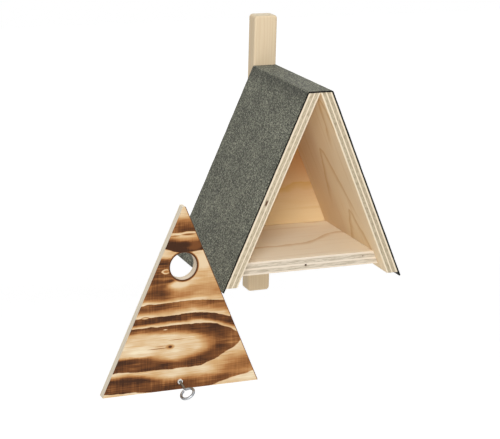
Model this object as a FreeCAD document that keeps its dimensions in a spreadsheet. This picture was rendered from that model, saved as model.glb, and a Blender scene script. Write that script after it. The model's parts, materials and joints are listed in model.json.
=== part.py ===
import FreeCAD, Part

import math
import os

import Sketcher
from FreeCAD import Placement, Rotation, Vector

# A-shaped nest box: two leaning side boards under roofing felt, a floor, a thin back,
# a lath for hanging it, and a triangular front that one eye screw holds.
# X is right, Y is back towards the wall, Z is up.  The origin is the middle of the lath's
# rear face.  The front is off its seat and stands in front of the box, left and low.

# Driving sizes, in millimetres and degrees: name, value, meaning.
SIZES = (
    ("half_angle", 23.2, "lean of each side board from upright"),
    ("board_height", 205, "feet to the flat ridge cut"),
    ("board_thickness", 12, "plywood of the side boards"),
    ("box_depth", 152, "front edge to rear edge of the side boards"),
    ("floor_lift", 6.5, "feet to the underside of the floor"),
    ("floor_thickness", 14.5, "plywood of the floor"),
    ("floor_recess", 17.5, "front edges of the boards to the floor's front edge"),
    ("back_thickness", 6, "plywood of the back"),
    ("batten_width", 27, "hanging lath, across"),
    ("batten_thickness", 19, "hanging lath, front to rear"),
    ("batten_length", 322, "hanging lath, top to bottom"),
    ("batten_rise", 57.5, "lath above the ridge cut"),
    ("batten_corner", 4, "rounding of the lath's four corners, seen from the front"),
    ("batten_easing", 1.5, "rounding of the lath's edges"),
    ("felt_thickness", 1.6, "roofing felt"),
    ("felt_drip", 5, "felt past the boards' feet, along the slope"),
    ("panel_thickness", 10.5, "plywood of the front"),
    ("panel_gap", 0.8, "front's slanted edges to the boards when seated"),
    ("panel_lift", 1, "feet to the front's base when seated"),
    ("panel_tip", 3, "width of the front's blunt tip"),
    ("hole_diameter", 29, "entrance hole"),
    ("hole_height", 135, "front's base to the middle of the entrance"),
    ("screw_height", 9, "front's base to the eye screw, on the front face"),
    ("screw_offset", 2, "eye screw left of the middle"),
    ("screw_slant", 12, "eye screw's slope, point up"),
    ("screw_play", 0.3, "front's screw hole, wider all round than the wire"),
    ("screw_wire", 2.8, "wire of the eye screw"),
    ("thread_length", 20, "front face to the start of the screw's point"),
    ("point_length", 4, "tapered point of the eye screw"),
    ("eye_reach", 24, "front face to the middle of the eye"),
    ("eye_diameter", 17, "eye, outside"),
    ("eye_bend", 3, "bend from the neck into the eye"),
    ("eye_opening", 0.3, "neck's side to the middle of the wire's cut end"),
    ("eye_turn", -32, "turn of the eye about the screw"),
    ("washer_diameter", 6, "cup washer"),
    ("washer_thickness", 1.8, "cup washer"),
    ("washer_play", 0.4, "washer's bore, wider all round than the wire"),
    ("pilot_diameter", 2.4, "pilot hole in the floor"),
    ("pilot_depth", 32, "pilot hole in the floor, from its mouth"),
    ("seat_clearance", 0.2, "front's rear face to the floor when seated"),
    ("front_standoff", 1, "boards' front edges to the front's rear face, off its seat"),
    ("aside_left", 152.8, "front stands this far left of the opening"),
    ("aside_down", 98.5, "front stands this far below the opening"),
    ("nail_width", 1.6, "flat wire nails, along the board's front edge"),
    ("nail_gauge", 1.2, "flat wire nails, up the slope"),
    ("nail_length", 30, "flat wire nails, head and point included"),
    ("nail_point", 3, "flat wire nails"),
    ("nail_head", 3.2, "flat wire nails, across the head"),
    ("nail_head_thickness", 0.8, "flat wire nails"),
    ("floor_nail_drop", 3.5, "floor's upper face to the nails, at the floor's end"),
    ("floor_nail_margin", 30, "floor's front edge to the first nail"),
    ("floor_nail_spacing", 70, "between the nails in the floor"),
    ("back_nail_rise", 60, "feet to the lowest nail in the back, up the slope"),
    ("back_nail_spacing", 55, "between the nails in the back, up the slope"),
    ("batten_screw_diameter", 3.5, "countersunk screws in the lath"),
    ("batten_screw_head", 7, "countersunk screws in the lath"),
    ("batten_screw_length", 24, "countersunk screws in the lath"),
    ("batten_screw_point", 4, "countersunk screws in the lath"),
    ("batten_screw_low", 38, "feet to the lower screw"),
    ("batten_screw_spacing", 80, "between the screws"),
)

FLOOR_NAILS = 2
BACK_NAILS = 3
BATTEN_SCREWS = 2

doc = FreeCAD.newDocument("bird_nest_box")
sheet = doc.addObject("Spreadsheet::Sheet", "Sizes")
for row, (alias, value, meaning) in enumerate(SIZES, start=1):
    sheet.set(f"A{row}", meaning)
    sheet.set(f"B{row}", str(value))
    sheet.setAlias(f"B{row}", alias)
gauge = doc.addObject("App::VarSet", "Gauge")
gauge.addProperty("App::PropertyFloat", "reading", "Base", "value of the last expression looked up")
doc.recompute()

# Worked-out places, as expressions over the sheet.
LEAN = "(Sizes.half_angle * 1 deg)"
SLANT = "(Sizes.screw_slant * 1 deg)"
FRONT_Y = "(-Sizes.batten_thickness - Sizes.box_depth)"
FEET_Z = "(Sizes.batten_length / 2 - Sizes.batten_rise - Sizes.board_height)"
BOARD_ACROSS = f"(Sizes.board_thickness / cos({LEAN}))"
FELT_ACROSS = f"((Sizes.board_thickness + Sizes.felt_thickness) / cos({LEAN}))"
FLOOR_TOP = "(Sizes.floor_lift + Sizes.floor_thickness)"
SEAT_TRAVEL = "(Sizes.floor_recess + Sizes.front_standoff - Sizes.seat_clearance)"
FRONT_FACE_Y = f"({FRONT_Y} - Sizes.front_standoff - Sizes.panel_thickness)"
FRONT_BASE_Z = f"({FEET_Z} + Sizes.panel_lift - {SEAT_TRAVEL} * tan({SLANT}) - Sizes.aside_down)"


def inner_half(height):
    """Half the clear width between the side boards at a height above their feet."""
    return f"((Sizes.board_height - ({height})) * tan({LEAN}))"


def panel_half(height):
    """Half the front's width at a height above its own base."""
    return f"({inner_half(f'Sizes.panel_lift + ({height})')} - Sizes.panel_gap / cos({LEAN}))"


def value_of(expression):
    """Present value of an expression over the sheet."""
    gauge.setExpression("reading", expression)
    gauge.recompute()
    return gauge.reading


def place(thing, x=None, y=None, z=None):
    """Bind a sub-part's place to expressions over the sheet."""
    for axis, expression in (("x", x), ("y", y), ("z", z)):
        if expression:
            thing.setExpression(f"Placement.Base.{axis}", expression)


def new_body(label):
    """An empty body that may hold several loose solids."""
    body = doc.addObject("PartDesign::Body", label)
    body.AllowCompound = True
    return body


def datum(body, role):
    """A base plane or axis of a body."""
    return next(item for item in body.Origin.OriginFeatures if item.Role == role)


def new_sketch(body, name, plane):
    """An empty sketch on a base plane of a body."""
    sketch = body.newObject("Sketcher::SketchObject", name)
    sketch.AttachmentSupport = [(datum(body, plane), "")]
    sketch.MapMode = "FlatFace"
    return sketch


def bind(sketch, kind, where, expression):
    """Add a dimension to a sketch and bind it to an expression."""
    index = sketch.addConstraint(Sketcher.Constraint(kind, *where, value_of(expression)))
    sketch.setExpression(f"Constraints[{index}]", expression)


def polygon(sketch, corners):
    """Draw a closed outline whose corners are pairs of expressions."""
    points = [Vector(value_of(x), value_of(y), 0) for x, y in corners]
    first = sketch.GeometryCount
    count = len(points)
    for index, point in enumerate(points):
        sketch.addGeometry(Part.LineSegment(point, points[(index + 1) % count]), False)
    for index in range(count):
        following = first + (index + 1) % count
        sketch.addConstraint(Sketcher.Constraint("Coincident", first + index, 2, following, 1))
    for index, (x, y) in enumerate(corners):
        bind(sketch, "DistanceX", (-1, 1, first + index, 1), x)
        bind(sketch, "DistanceY", (-1, 1, first + index, 1), y)


def circle(sketch, x, y, radius):
    """Draw a circle with its middle and radius bound to expressions."""
    middle = Vector(value_of(x), value_of(y), 0)
    index = sketch.addGeometry(Part.Circle(middle, Vector(0, 0, 1), value_of(radius)), False)
    bind(sketch, "DistanceX", (-1, 1, index, 3), x)
    bind(sketch, "DistanceY", (-1, 1, index, 3), y)
    bind(sketch, "Radius", (index,), radius)


def pad_back(body, sketch, depth):
    """Extrude a front-view sketch backwards, along +Y."""
    pad = body.newObject("PartDesign::Pad", f"{body.Name}_pad")
    pad.Profile = sketch
    pad.setExpression("Length", depth)
    pad.Reversed = True
    return pad


def revolve(body, sketch, axis):
    """Turn a half profile right round a base axis of a body."""
    turned = body.newObject("PartDesign::Revolution", f"{body.Name}_turned")
    turned.Profile = sketch
    turned.ReferenceAxis = (datum(body, axis), [""])
    turned.Angle = 360
    return turned


def repeat(body, feature, axis, spacing, count):
    """Repeat a feature along a base axis of its body."""
    row = body.newObject("PartDesign::LinearPattern", f"{body.Name}_row")
    row.Originals = [feature]
    row.Direction = (datum(body, axis), [""])
    row.Occurrences = count
    row.setExpression("Length", f"({spacing}) * {count - 1}")
    body.Tip = row


def group(label, members):
    """Several pieces taken as one tool."""
    tool = doc.addObject("Part::Compound", label)
    tool.Links = members
    return tool


def bored(label, blank, tool):
    """A piece with the room for its fasteners cut out of it."""
    cut = doc.addObject("Part::Cut", label)
    cut.Label = label
    cut.Base = blank
    cut.Tool = tool
    return cut


def mirrored(label, source):
    """The right-hand twin of a left-hand piece."""
    twin = doc.addObject("Part::Mirroring", label)
    twin.Label = label
    twin.Source = source
    twin.Normal = Vector(1, 0, 0)
    return twin


def house_blank(label, corners, depth, start="0"):
    """A board drawn in front view from the feet up, start behind the boards' front edges."""
    body = new_body(label)
    sketch = new_sketch(body, f"{label}_outline", "XZ_Plane")
    polygon(sketch, corners)
    pad_back(body, sketch, depth)
    place(body, y=f"{FRONT_Y} + ({start})", z=FEET_Z)
    return body


def nail_row(label, axis, spacing, count, y, up_slope):
    """Flat wire nails square to the left board, their heads flush with it under the felt."""
    body = new_body(label)
    sketch = new_sketch(body, f"{label}_outline", "XY_Plane")
    head = "(Sizes.nail_head / 2)"
    shank = "(Sizes.nail_width / 2)"
    neck = "Sizes.nail_head_thickness"
    shoulder = "(Sizes.nail_length - Sizes.nail_point)"
    polygon(sketch, (
        ("0", f"-{head}"),
        (neck, f"-{head}"),
        (neck, f"-{shank}"),
        (shoulder, f"-{shank}"),
        ("Sizes.nail_length", "0"),
        (shoulder, shank),
        (neck, shank),
        (neck, head),
        ("0", head),
    ))
    nail = body.newObject("PartDesign::Pad", f"{label}_pad")
    nail.Profile = sketch
    nail.SideType = "Symmetric"
    nail.setExpression("Length", "Sizes.nail_gauge")
    repeat(body, nail, axis, spacing, count)
    body.Placement = Placement(Vector(), Rotation(Vector(0, 1, 0), value_of("Sizes.half_angle")))
    feet_x = f"(-{inner_half('0')} - {BOARD_ACROSS})"
    place(
        body,
        x=f"{feet_x} + ({up_slope}) * sin({LEAN})",
        y=f"{FRONT_Y} + ({y})",
        z=f"{FEET_Z} + ({up_slope}) * cos({LEAN})",
    )
    return body


def make_nails():
    """Nails of the left board; the right board's are their mirror image."""
    # A nail square to the leaning board drops by board_thickness * sin(lean) on its way to the floor.
    floor_entry = f"({FLOOR_TOP} - Sizes.floor_nail_drop)"
    floor_rise = f"({floor_entry} + Sizes.board_thickness * sin({LEAN})) / cos({LEAN})"
    floor_y = "Sizes.floor_recess + Sizes.floor_nail_margin"
    back_y = "Sizes.box_depth - Sizes.back_thickness / 2"
    floor_nails = nail_row(
        "floor_nails_left", "Y_Axis", "Sizes.floor_nail_spacing", FLOOR_NAILS, floor_y, floor_rise
    )
    back_nails = nail_row(
        "back_nails_left", "Z_Axis", "Sizes.back_nail_spacing", BACK_NAILS, back_y, "Sizes.back_nail_rise"
    )
    return floor_nails, back_nails


def make_batten_screws():
    """Countersunk screws from the lath's rear face into the back."""
    body = new_body("batten_screws")
    sketch = new_sketch(body, "batten_screws_profile", "XY_Plane")
    cone = "(Sizes.batten_screw_head - Sizes.batten_screw_diameter) / 2"
    polygon(sketch, (
        ("0", "0"),
        ("Sizes.batten_screw_head / 2", "0"),
        ("Sizes.batten_screw_diameter / 2", f"-{cone}"),
        ("Sizes.batten_screw_diameter / 2", "Sizes.batten_screw_point - Sizes.batten_screw_length"),
        ("0", "-Sizes.batten_screw_length"),
    ))
    turned = revolve(body, sketch, "Y_Axis")
    repeat(body, turned, "Z_Axis", "Sizes.batten_screw_spacing", BATTEN_SCREWS)
    place(body, z=f"{FEET_Z} + Sizes.batten_screw_low")
    return body


def make_side_board():
    """Left board in front view: a leaning strip cut level at its top and its foot."""
    return house_blank("side_board_blank", (
        ("0", "Sizes.board_height"),
        (f"-{BOARD_ACROSS}", "Sizes.board_height"),
        (f"-{inner_half('0')} - {BOARD_ACROSS}", "0"),
        (f"-{inner_half('0')}", "0"),
    ), "Sizes.box_depth")


def make_floor():
    """Floor with ends bevelled to the boards, from its recessed front edge to the back."""
    low = inner_half("Sizes.floor_lift")
    high = inner_half(FLOOR_TOP)
    return house_blank("floor_blank", (
        (f"-{low}", "Sizes.floor_lift"),
        (low, "Sizes.floor_lift"),
        (high, FLOOR_TOP),
        (f"-{high}", FLOOR_TOP),
    ), "Sizes.box_depth - Sizes.back_thickness - Sizes.floor_recess", "Sizes.floor_recess")


def make_back():
    """Triangular back between the boards, flush with their rear edges."""
    low = inner_half("Sizes.floor_lift")
    return house_blank("back_blank", (
        (f"-{low}", "Sizes.floor_lift"),
        (low, "Sizes.floor_lift"),
        ("0", "Sizes.board_height"),
    ), "Sizes.back_thickness", "Sizes.box_depth - Sizes.back_thickness")


def make_felt():
    """One sheet of felt down both slopes and over the ridge, its two bends rounded."""
    drip_z = f"(-Sizes.felt_drip * cos({LEAN}))"
    drip_in = f"({inner_half(drip_z)} + {BOARD_ACROSS})"
    drip_out = f"({drip_in} + Sizes.felt_thickness * cos({LEAN}))"
    drip_out_z = f"({drip_z} + Sizes.felt_thickness * sin({LEAN}))"
    ridge_z = "(Sizes.board_height + Sizes.felt_thickness)"
    ridge_out = f"({FELT_ACROSS} - Sizes.felt_thickness * tan({LEAN}))"
    body = house_blank("roof_felt", (
        (f"-{drip_in}", drip_z),
        (f"-{BOARD_ACROSS}", "Sizes.board_height"),
        (BOARD_ACROSS, "Sizes.board_height"),
        (drip_in, drip_z),
        (drip_out, drip_out_z),
        (ridge_out, ridge_z),
        (f"-{ridge_out}", ridge_z),
        (f"-{drip_out}", drip_out_z),
    ), "Sizes.box_depth")
    doc.recompute()
    pad = body.Tip
    top = pad.Shape.BoundBox.ZMax
    bends = [
        f"Edge{number}"
        for number, edge in enumerate(pad.Shape.Edges, start=1)
        if all(abs(vertex.Z - top) < 1e-6 for vertex in edge.Vertexes)
        and edge.BoundBox.YLength > edge.BoundBox.XLength
    ]
    rounding = body.newObject("PartDesign::Fillet", "roof_felt_bends")
    rounding.Base = (pad, bends)
    rounding.setExpression("Radius", "Sizes.felt_thickness")
    return body


def edges_of(feature, through):
    """Names of a board's edges that run through its thickness, or of those round its two faces."""
    return [
        f"Edge{number}"
        for number, edge in enumerate(feature.Shape.Edges, start=1)
        if (edge.BoundBox.YLength > 1e-3) == through
    ]


def make_batten():
    """Planed lath with round corners and eased edges."""
    body = new_body("batten_blank")
    sketch = new_sketch(body, "batten_outline", "XZ_Plane")
    half = "(Sizes.batten_width / 2)"
    end = "(Sizes.batten_length / 2)"
    polygon(sketch, ((f"-{half}", f"-{end}"), (half, f"-{end}"), (half, end), (f"-{half}", end)))
    pad = pad_back(body, sketch, "Sizes.batten_thickness")
    doc.recompute()
    corners = body.newObject("PartDesign::Fillet", "batten_corners")
    corners.Base = (pad, edges_of(pad, through=True))
    corners.setExpression("Radius", "Sizes.batten_corner")
    doc.recompute()
    easing = body.newObject("PartDesign::Fillet", "batten_easing")
    easing.Base = (corners, edges_of(corners, through=False))
    easing.setExpression("Radius", "Sizes.batten_easing")
    place(body, y="-Sizes.batten_thickness")
    return body


def screw_line(label, radius, length, x, y, z):
    """A round tool along the eye screw's slanted line, pointing back and up."""
    tool = doc.addObject("Part::Cylinder", label)
    tool.setExpression("Radius", radius)
    tool.setExpression("Height", length)
    turn = value_of("Sizes.screw_slant") - 90
    tool.Placement = Placement(Vector(), Rotation(Vector(1, 0, 0), turn))
    place(tool, x=x, y=y, z=z)
    return tool


def make_pilot():
    """Pilot hole in the floor's front edge, in line with the eye screw of the seated front."""
    seat_y = f"({FRONT_Y} + Sizes.floor_recess - Sizes.panel_thickness)"
    return screw_line(
        "pilot_hole",
        "Sizes.pilot_diameter / 2",
        f"Sizes.panel_thickness / cos({SLANT}) + Sizes.pilot_depth",
        "-Sizes.screw_offset",
        seat_y,
        f"{FEET_Z} + Sizes.panel_lift + Sizes.screw_height",
    )


def make_front():
    """Triangular front with a blunt tip, its entrance and its slanted screw hole."""
    body = new_body("front_blank")
    sketch = new_sketch(body, "front_outline", "XZ_Plane")
    base = panel_half("0")
    tip = "(Sizes.panel_tip / 2)"
    tip_z = f"(({base} - {tip}) / tan({LEAN}))"
    polygon(sketch, ((f"-{base}", "0"), (base, "0"), (tip, tip_z), (f"-{tip}", tip_z)))
    circle(sketch, "0", "Sizes.hole_height", "Sizes.hole_diameter / 2")
    pad_back(body, sketch, "Sizes.panel_thickness")
    place(body, x="-Sizes.aside_left", y=FRONT_FACE_Y, z=FRONT_BASE_Z)
    reach = f"(2 * Sizes.screw_wire * tan({SLANT}))"
    hole = screw_line(
        "screw_hole",
        "Sizes.screw_wire / 2 + Sizes.screw_play",
        f"Sizes.panel_thickness / cos({SLANT}) + 2 * {reach}",
        "-Sizes.aside_left - Sizes.screw_offset",
        f"{FRONT_FACE_Y} - {reach} * cos({SLANT})",
        f"{FRONT_BASE_Z} + Sizes.screw_height - {reach} * sin({SLANT})",
    )
    return bored("front_panel", body, hole)


def seat_on_screw(body, height, slant="0", turn="0"):
    """Put a piece drawn about +Y where the eye screw meets the front's outer face."""
    slope = Rotation(Vector(1, 0, 0), value_of(slant))
    spin = Rotation(Vector(0, 1, 0), value_of(turn))
    body.Placement = Placement(Vector(), slope.multiply(spin))
    place(
        body,
        x="-Sizes.aside_left - Sizes.screw_offset",
        y=FRONT_FACE_Y,
        z=f"{FRONT_BASE_Z} + {height}",
    )


def draw_wire_line(sketch):
    """Middle line of the eye screw: straight shank, bend to one side, round of the eye."""
    ring_size = "Sizes.eye_diameter / 2 - Sizes.screw_wire / 2"
    end_size = "-Sizes.screw_wire / 2 - Sizes.eye_opening"
    ring = value_of(ring_size)
    bend = value_of("Sizes.eye_bend")
    reach = value_of("Sizes.eye_reach")
    # The bend's circle and the eye's circle touch from outside.
    rise = math.sqrt(ring ** 2 + 2 * ring * bend)
    lean = math.atan2(rise, bend)
    cut_end = math.acos(value_of(end_size) / ring)
    start = Vector(0, value_of("Sizes.thread_length"), 0)
    neck = Vector(0, rise - reach, 0)
    up = Vector(0, 0, 1)
    bend_circle = Part.Circle(neck + Vector(bend, 0, 0), up, bend)
    eye_circle = Part.Circle(Vector(0, -reach, 0), up, ring)
    shank = sketch.addGeometry(Part.LineSegment(start, neck), False)
    side = sketch.addGeometry(Part.ArcOfCircle(bend_circle, math.pi, math.pi + lean), False)
    eye = sketch.addGeometry(Part.ArcOfCircle(eye_circle, cut_end, lean + 2 * math.pi), False)
    for geometry, point in ((shank, 1), (shank, 2), (eye, 3)):
        sketch.addConstraint(Sketcher.Constraint("PointOnObject", geometry, point, -2))
    sketch.addConstraint(Sketcher.Constraint("Tangent", shank, 2, side, 1))
    sketch.addConstraint(Sketcher.Constraint("Tangent", side, 2, eye, 2))
    bind(sketch, "DistanceY", (-1, 1, shank, 1), "Sizes.thread_length")
    bind(sketch, "Radius", (side,), "Sizes.eye_bend")
    bind(sketch, "Radius", (eye,), ring_size)
    bind(sketch, "DistanceY", (-1, 1, eye, 3), "-Sizes.eye_reach")
    bind(sketch, "DistanceX", (-1, 1, eye, 1), end_size)


def make_eye_screw():
    """One bent wire with a tapered point, its cut end beside the neck."""
    body = new_body("eye_screw")
    line = new_sketch(body, "eye_screw_line", "XY_Plane")
    draw_wire_line(line)
    section = new_sketch(body, "eye_screw_section", "XZ_Plane")
    section.setExpression("AttachmentOffset.Base.z", "-Sizes.thread_length")
    circle(section, "0", "0", "Sizes.screw_wire / 2")
    doc.recompute()
    wire = body.newObject("PartDesign::AdditivePipe", "eye_screw_wire")
    wire.Profile = section
    wire.Spine = (line, [f"Edge{number}" for number in range(1, len(line.Shape.Edges) + 1)])
    doc.recompute()
    taper = new_sketch(body, "eye_screw_taper", "XY_Plane")
    polygon(taper, (
        ("0", "Sizes.thread_length"),
        ("Sizes.screw_wire / 2", "Sizes.thread_length"),
        ("0", "Sizes.thread_length + Sizes.point_length"),
    ))
    revolve(body, taper, "Y_Axis")
    seat_on_screw(body, "Sizes.screw_height", "Sizes.screw_slant", "Sizes.eye_turn")
    return body


def make_washer():
    """Cup washer flat on the front's face, its outer edge turned down."""
    body = new_body("screw_washer")
    sketch = new_sketch(body, "screw_washer_profile", "XY_Plane")
    bore = "(Sizes.screw_wire / 2 + Sizes.washer_play)"
    rim = "(Sizes.washer_diameter / 2)"
    face = "-Sizes.washer_thickness"
    polygon(sketch, (
        (bore, "0"),
        (rim, "0"),
        (rim, f"{face} / 3"),
        (f"({bore} + {rim}) / 2", face),
        (bore, face),
    ))
    revolve(body, sketch, "Y_Axis")
    seat_on_screw(body, f"Sizes.screw_height - Sizes.washer_thickness / 2 * tan({SLANT})")
    return body


def make_box():
    """All the pieces, in the order in which they would be put together."""
    floor_left, back_left = make_nails()
    floor_right = mirrored("floor_nails_right", floor_left)
    back_right = mirrored("back_nails_right", back_left)
    lath_screws = make_batten_screws()
    left_nails = group("left_nails", [floor_left, back_left])
    floor_tools = group("floor_tools", [floor_left, floor_right, make_pilot()])
    back_tools = group("back_tools", [back_left, back_right, lath_screws])
    side_left = bored("side_board_left", make_side_board(), left_nails)
    return [
        side_left,
        mirrored("side_board_right", side_left),
        bored("floor_board", make_floor(), floor_tools),
        bored("back_board", make_back(), back_tools),
        floor_left,
        floor_right,
        back_left,
        back_right,
        make_felt(),
        bored("hanging_batten", make_batten(), lath_screws),
        lath_screws,
        make_front(),
        make_washer(),
        make_eye_screw(),
    ]


def check(pieces):
    """Stop if any object failed, or any piece is empty or not valid."""
    failed = [item.Label for item in doc.Objects if {"Invalid", "Error"} & set(item.State)]
    bad = [item.Label for item in pieces if item.Shape.isNull() or not item.Shape.isValid()]
    if failed or bad:
        raise RuntimeError(f"failed objects {failed}, bad shapes {bad}")


def write(pieces):
    """Write each piece to its own file."""
    os.makedirs("parts", exist_ok=True)
    for piece in pieces:
        piece.Shape.exportStep(f"parts/{piece.Label}.step")
        box = piece.Shape.BoundBox
        print(f"{piece.Label}: {len(piece.Shape.Solids)} solids, {piece.Shape.Volume:.0f} mm3, "
              f"{box.XLength:.1f} x {box.YLength:.1f} x {box.ZLength:.1f} mm")


box_pieces = make_box()
doc.recompute()
check(box_pieces)
write(box_pieces)
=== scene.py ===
"""Looks of an A-shaped plywood nest box with its scorched front taken off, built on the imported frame."""

import json
import logging
import math
from collections.abc import Sequence
from dataclasses import dataclass, field
from enum import Enum

import bmesh
import bpy
from mathutils import Matrix, Vector
from mathutils import noise as lattice


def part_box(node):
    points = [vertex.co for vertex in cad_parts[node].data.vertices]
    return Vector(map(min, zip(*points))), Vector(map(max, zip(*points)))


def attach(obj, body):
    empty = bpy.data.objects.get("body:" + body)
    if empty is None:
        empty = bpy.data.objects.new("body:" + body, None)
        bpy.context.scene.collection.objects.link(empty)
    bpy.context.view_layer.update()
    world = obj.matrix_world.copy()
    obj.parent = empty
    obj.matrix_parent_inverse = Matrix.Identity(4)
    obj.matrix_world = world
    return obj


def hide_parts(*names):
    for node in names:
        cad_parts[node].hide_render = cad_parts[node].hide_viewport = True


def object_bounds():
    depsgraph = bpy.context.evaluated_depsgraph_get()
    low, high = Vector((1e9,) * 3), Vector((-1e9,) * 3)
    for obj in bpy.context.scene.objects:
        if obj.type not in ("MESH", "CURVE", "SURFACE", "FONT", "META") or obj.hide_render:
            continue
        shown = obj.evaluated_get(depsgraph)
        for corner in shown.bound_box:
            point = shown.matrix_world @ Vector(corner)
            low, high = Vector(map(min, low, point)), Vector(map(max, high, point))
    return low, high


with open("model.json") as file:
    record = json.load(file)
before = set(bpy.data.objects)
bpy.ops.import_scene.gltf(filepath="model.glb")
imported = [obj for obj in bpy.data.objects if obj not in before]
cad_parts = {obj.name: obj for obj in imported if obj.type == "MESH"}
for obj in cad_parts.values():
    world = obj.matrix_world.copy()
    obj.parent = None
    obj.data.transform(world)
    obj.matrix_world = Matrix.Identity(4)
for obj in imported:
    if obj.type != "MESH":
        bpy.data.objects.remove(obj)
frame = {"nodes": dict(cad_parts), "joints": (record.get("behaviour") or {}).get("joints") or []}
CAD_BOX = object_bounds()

LOG = logging.getLogger("nest_box")
MM = 0.001
WELD = 1e-7
SHARP_ANGLE = math.radians(32)
WOOD_SHEEN = 0.2
BITUMEN_SHEEN = 0.15
WHITE = (1.0, 1.0, 1.0, 1.0)

Pair = tuple[float, float]
Triple = tuple[float, float, float]
Colour = tuple[float, float, float, float]
Socket = bpy.types.NodeSocket
BMesh = bmesh.types.BMesh
PART_AXES: tuple[Triple, Triple, Triple] = ((1, 0, 0), (0, 1, 0), (0, 0, 1))


class Side(Enum):
    """The two slopes of the box, as the sign of X."""

    LEFT = -1
    RIGHT = 1


class Body(Enum):
    """The bodies of the frame that pieces ride on."""

    HOUSE = "house"
    WASHER = "screw_washer"
    FRONT = "front_panel"
    SCREW = "eye_screw"


class Slot(Enum):
    """Material slots of the record."""

    PLY = "plywood"
    SCORCHED = "scorched_plywood"
    SPRUCE = "planed_spruce"
    FELT = "roofing_felt"
    ZINC = "zinc_steel"


def linear(red: float, green: float, blue: float) -> Colour:
    """Turn a display colour into a linear one.

    Args:
        red: Red from 0 to 255.
        green: Green from 0 to 255.
        blue: Blue from 0 to 255.

    Returns:
        Linear red, green, blue and an alpha of 1.
    """
    knee, slope, lift, power = 0.04045, 12.92, 0.055, 2.4
    shares = (channel / 255 for channel in (red, green, blue))
    return (*(s / slope if s <= knee else ((s + lift) / (1 + lift)) ** power for s in shares), 1.0)


class Signal:
    """A number that varies over a surface. Arithmetic on it adds nodes to its graph."""

    def __init__(self, graph: "Graph", socket: Socket) -> None:
        """Hold the socket that gives the number."""
        self.graph = graph
        self.socket = socket

    def __add__(self, other: "Signal | float") -> "Signal":
        """Sum."""
        return self.graph.calc("ADD", self, other)

    def __sub__(self, other: "Signal | float") -> "Signal":
        """Difference."""
        return self.graph.calc("SUBTRACT", self, other)

    def __rsub__(self, other: "Signal | float") -> "Signal":
        """Difference from a plain number."""
        return self.graph.calc("SUBTRACT", other, self)

    def __mul__(self, other: "Signal | float") -> "Signal":
        """Product."""
        return self.graph.calc("MULTIPLY", self, other)

    def __truediv__(self, other: "Signal | float") -> "Signal":
        """Quotient."""
        return self.graph.calc("DIVIDE", self, other)

    def __abs__(self) -> "Signal":
        """Size without its sign."""
        return self.graph.calc("ABSOLUTE", self)

    def root(self) -> "Signal":
        """Square root."""
        return self.graph.calc("SQRT", self)

    def part(self) -> "Signal":
        """What is left over past the whole number."""
        return self.graph.calc("FRACT", self)

    def least(self, other: "Signal | float") -> "Signal":
        """The smaller of two."""
        return self.graph.calc("MINIMUM", self, other)

    def most(self, other: "Signal | float") -> "Signal":
        """The larger of two."""
        return self.graph.calc("MAXIMUM", self, other)

    def fade(self, zero: float, one: float) -> "Signal":
        """Rise smoothly from 0 to 1.

        Args:
            zero: Value at and before which the result is 0.
            one: Value at and past which the result is 1. It may be the smaller of the two.

        Returns:
            The eased share.
        """
        low, high = sorted((zero, one))
        ends = (0.0, 1.0) if zero < one else (1.0, 0.0)
        node = self.graph.add(
            "ShaderNodeMapRange",
            {"Value": self, "From Min": low, "From Max": high, "To Min": ends[0], "To Max": ends[1]},
            interpolation_type="SMOOTHSTEP",
        )
        return Signal(self.graph, node.outputs[0])

    def hump(self, middle: float, half: float) -> "Signal":
        """Rise to 1 at a middle value and fall to 0 half a width to each side."""
        return abs(self - middle).fade(half, 0.0)


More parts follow.
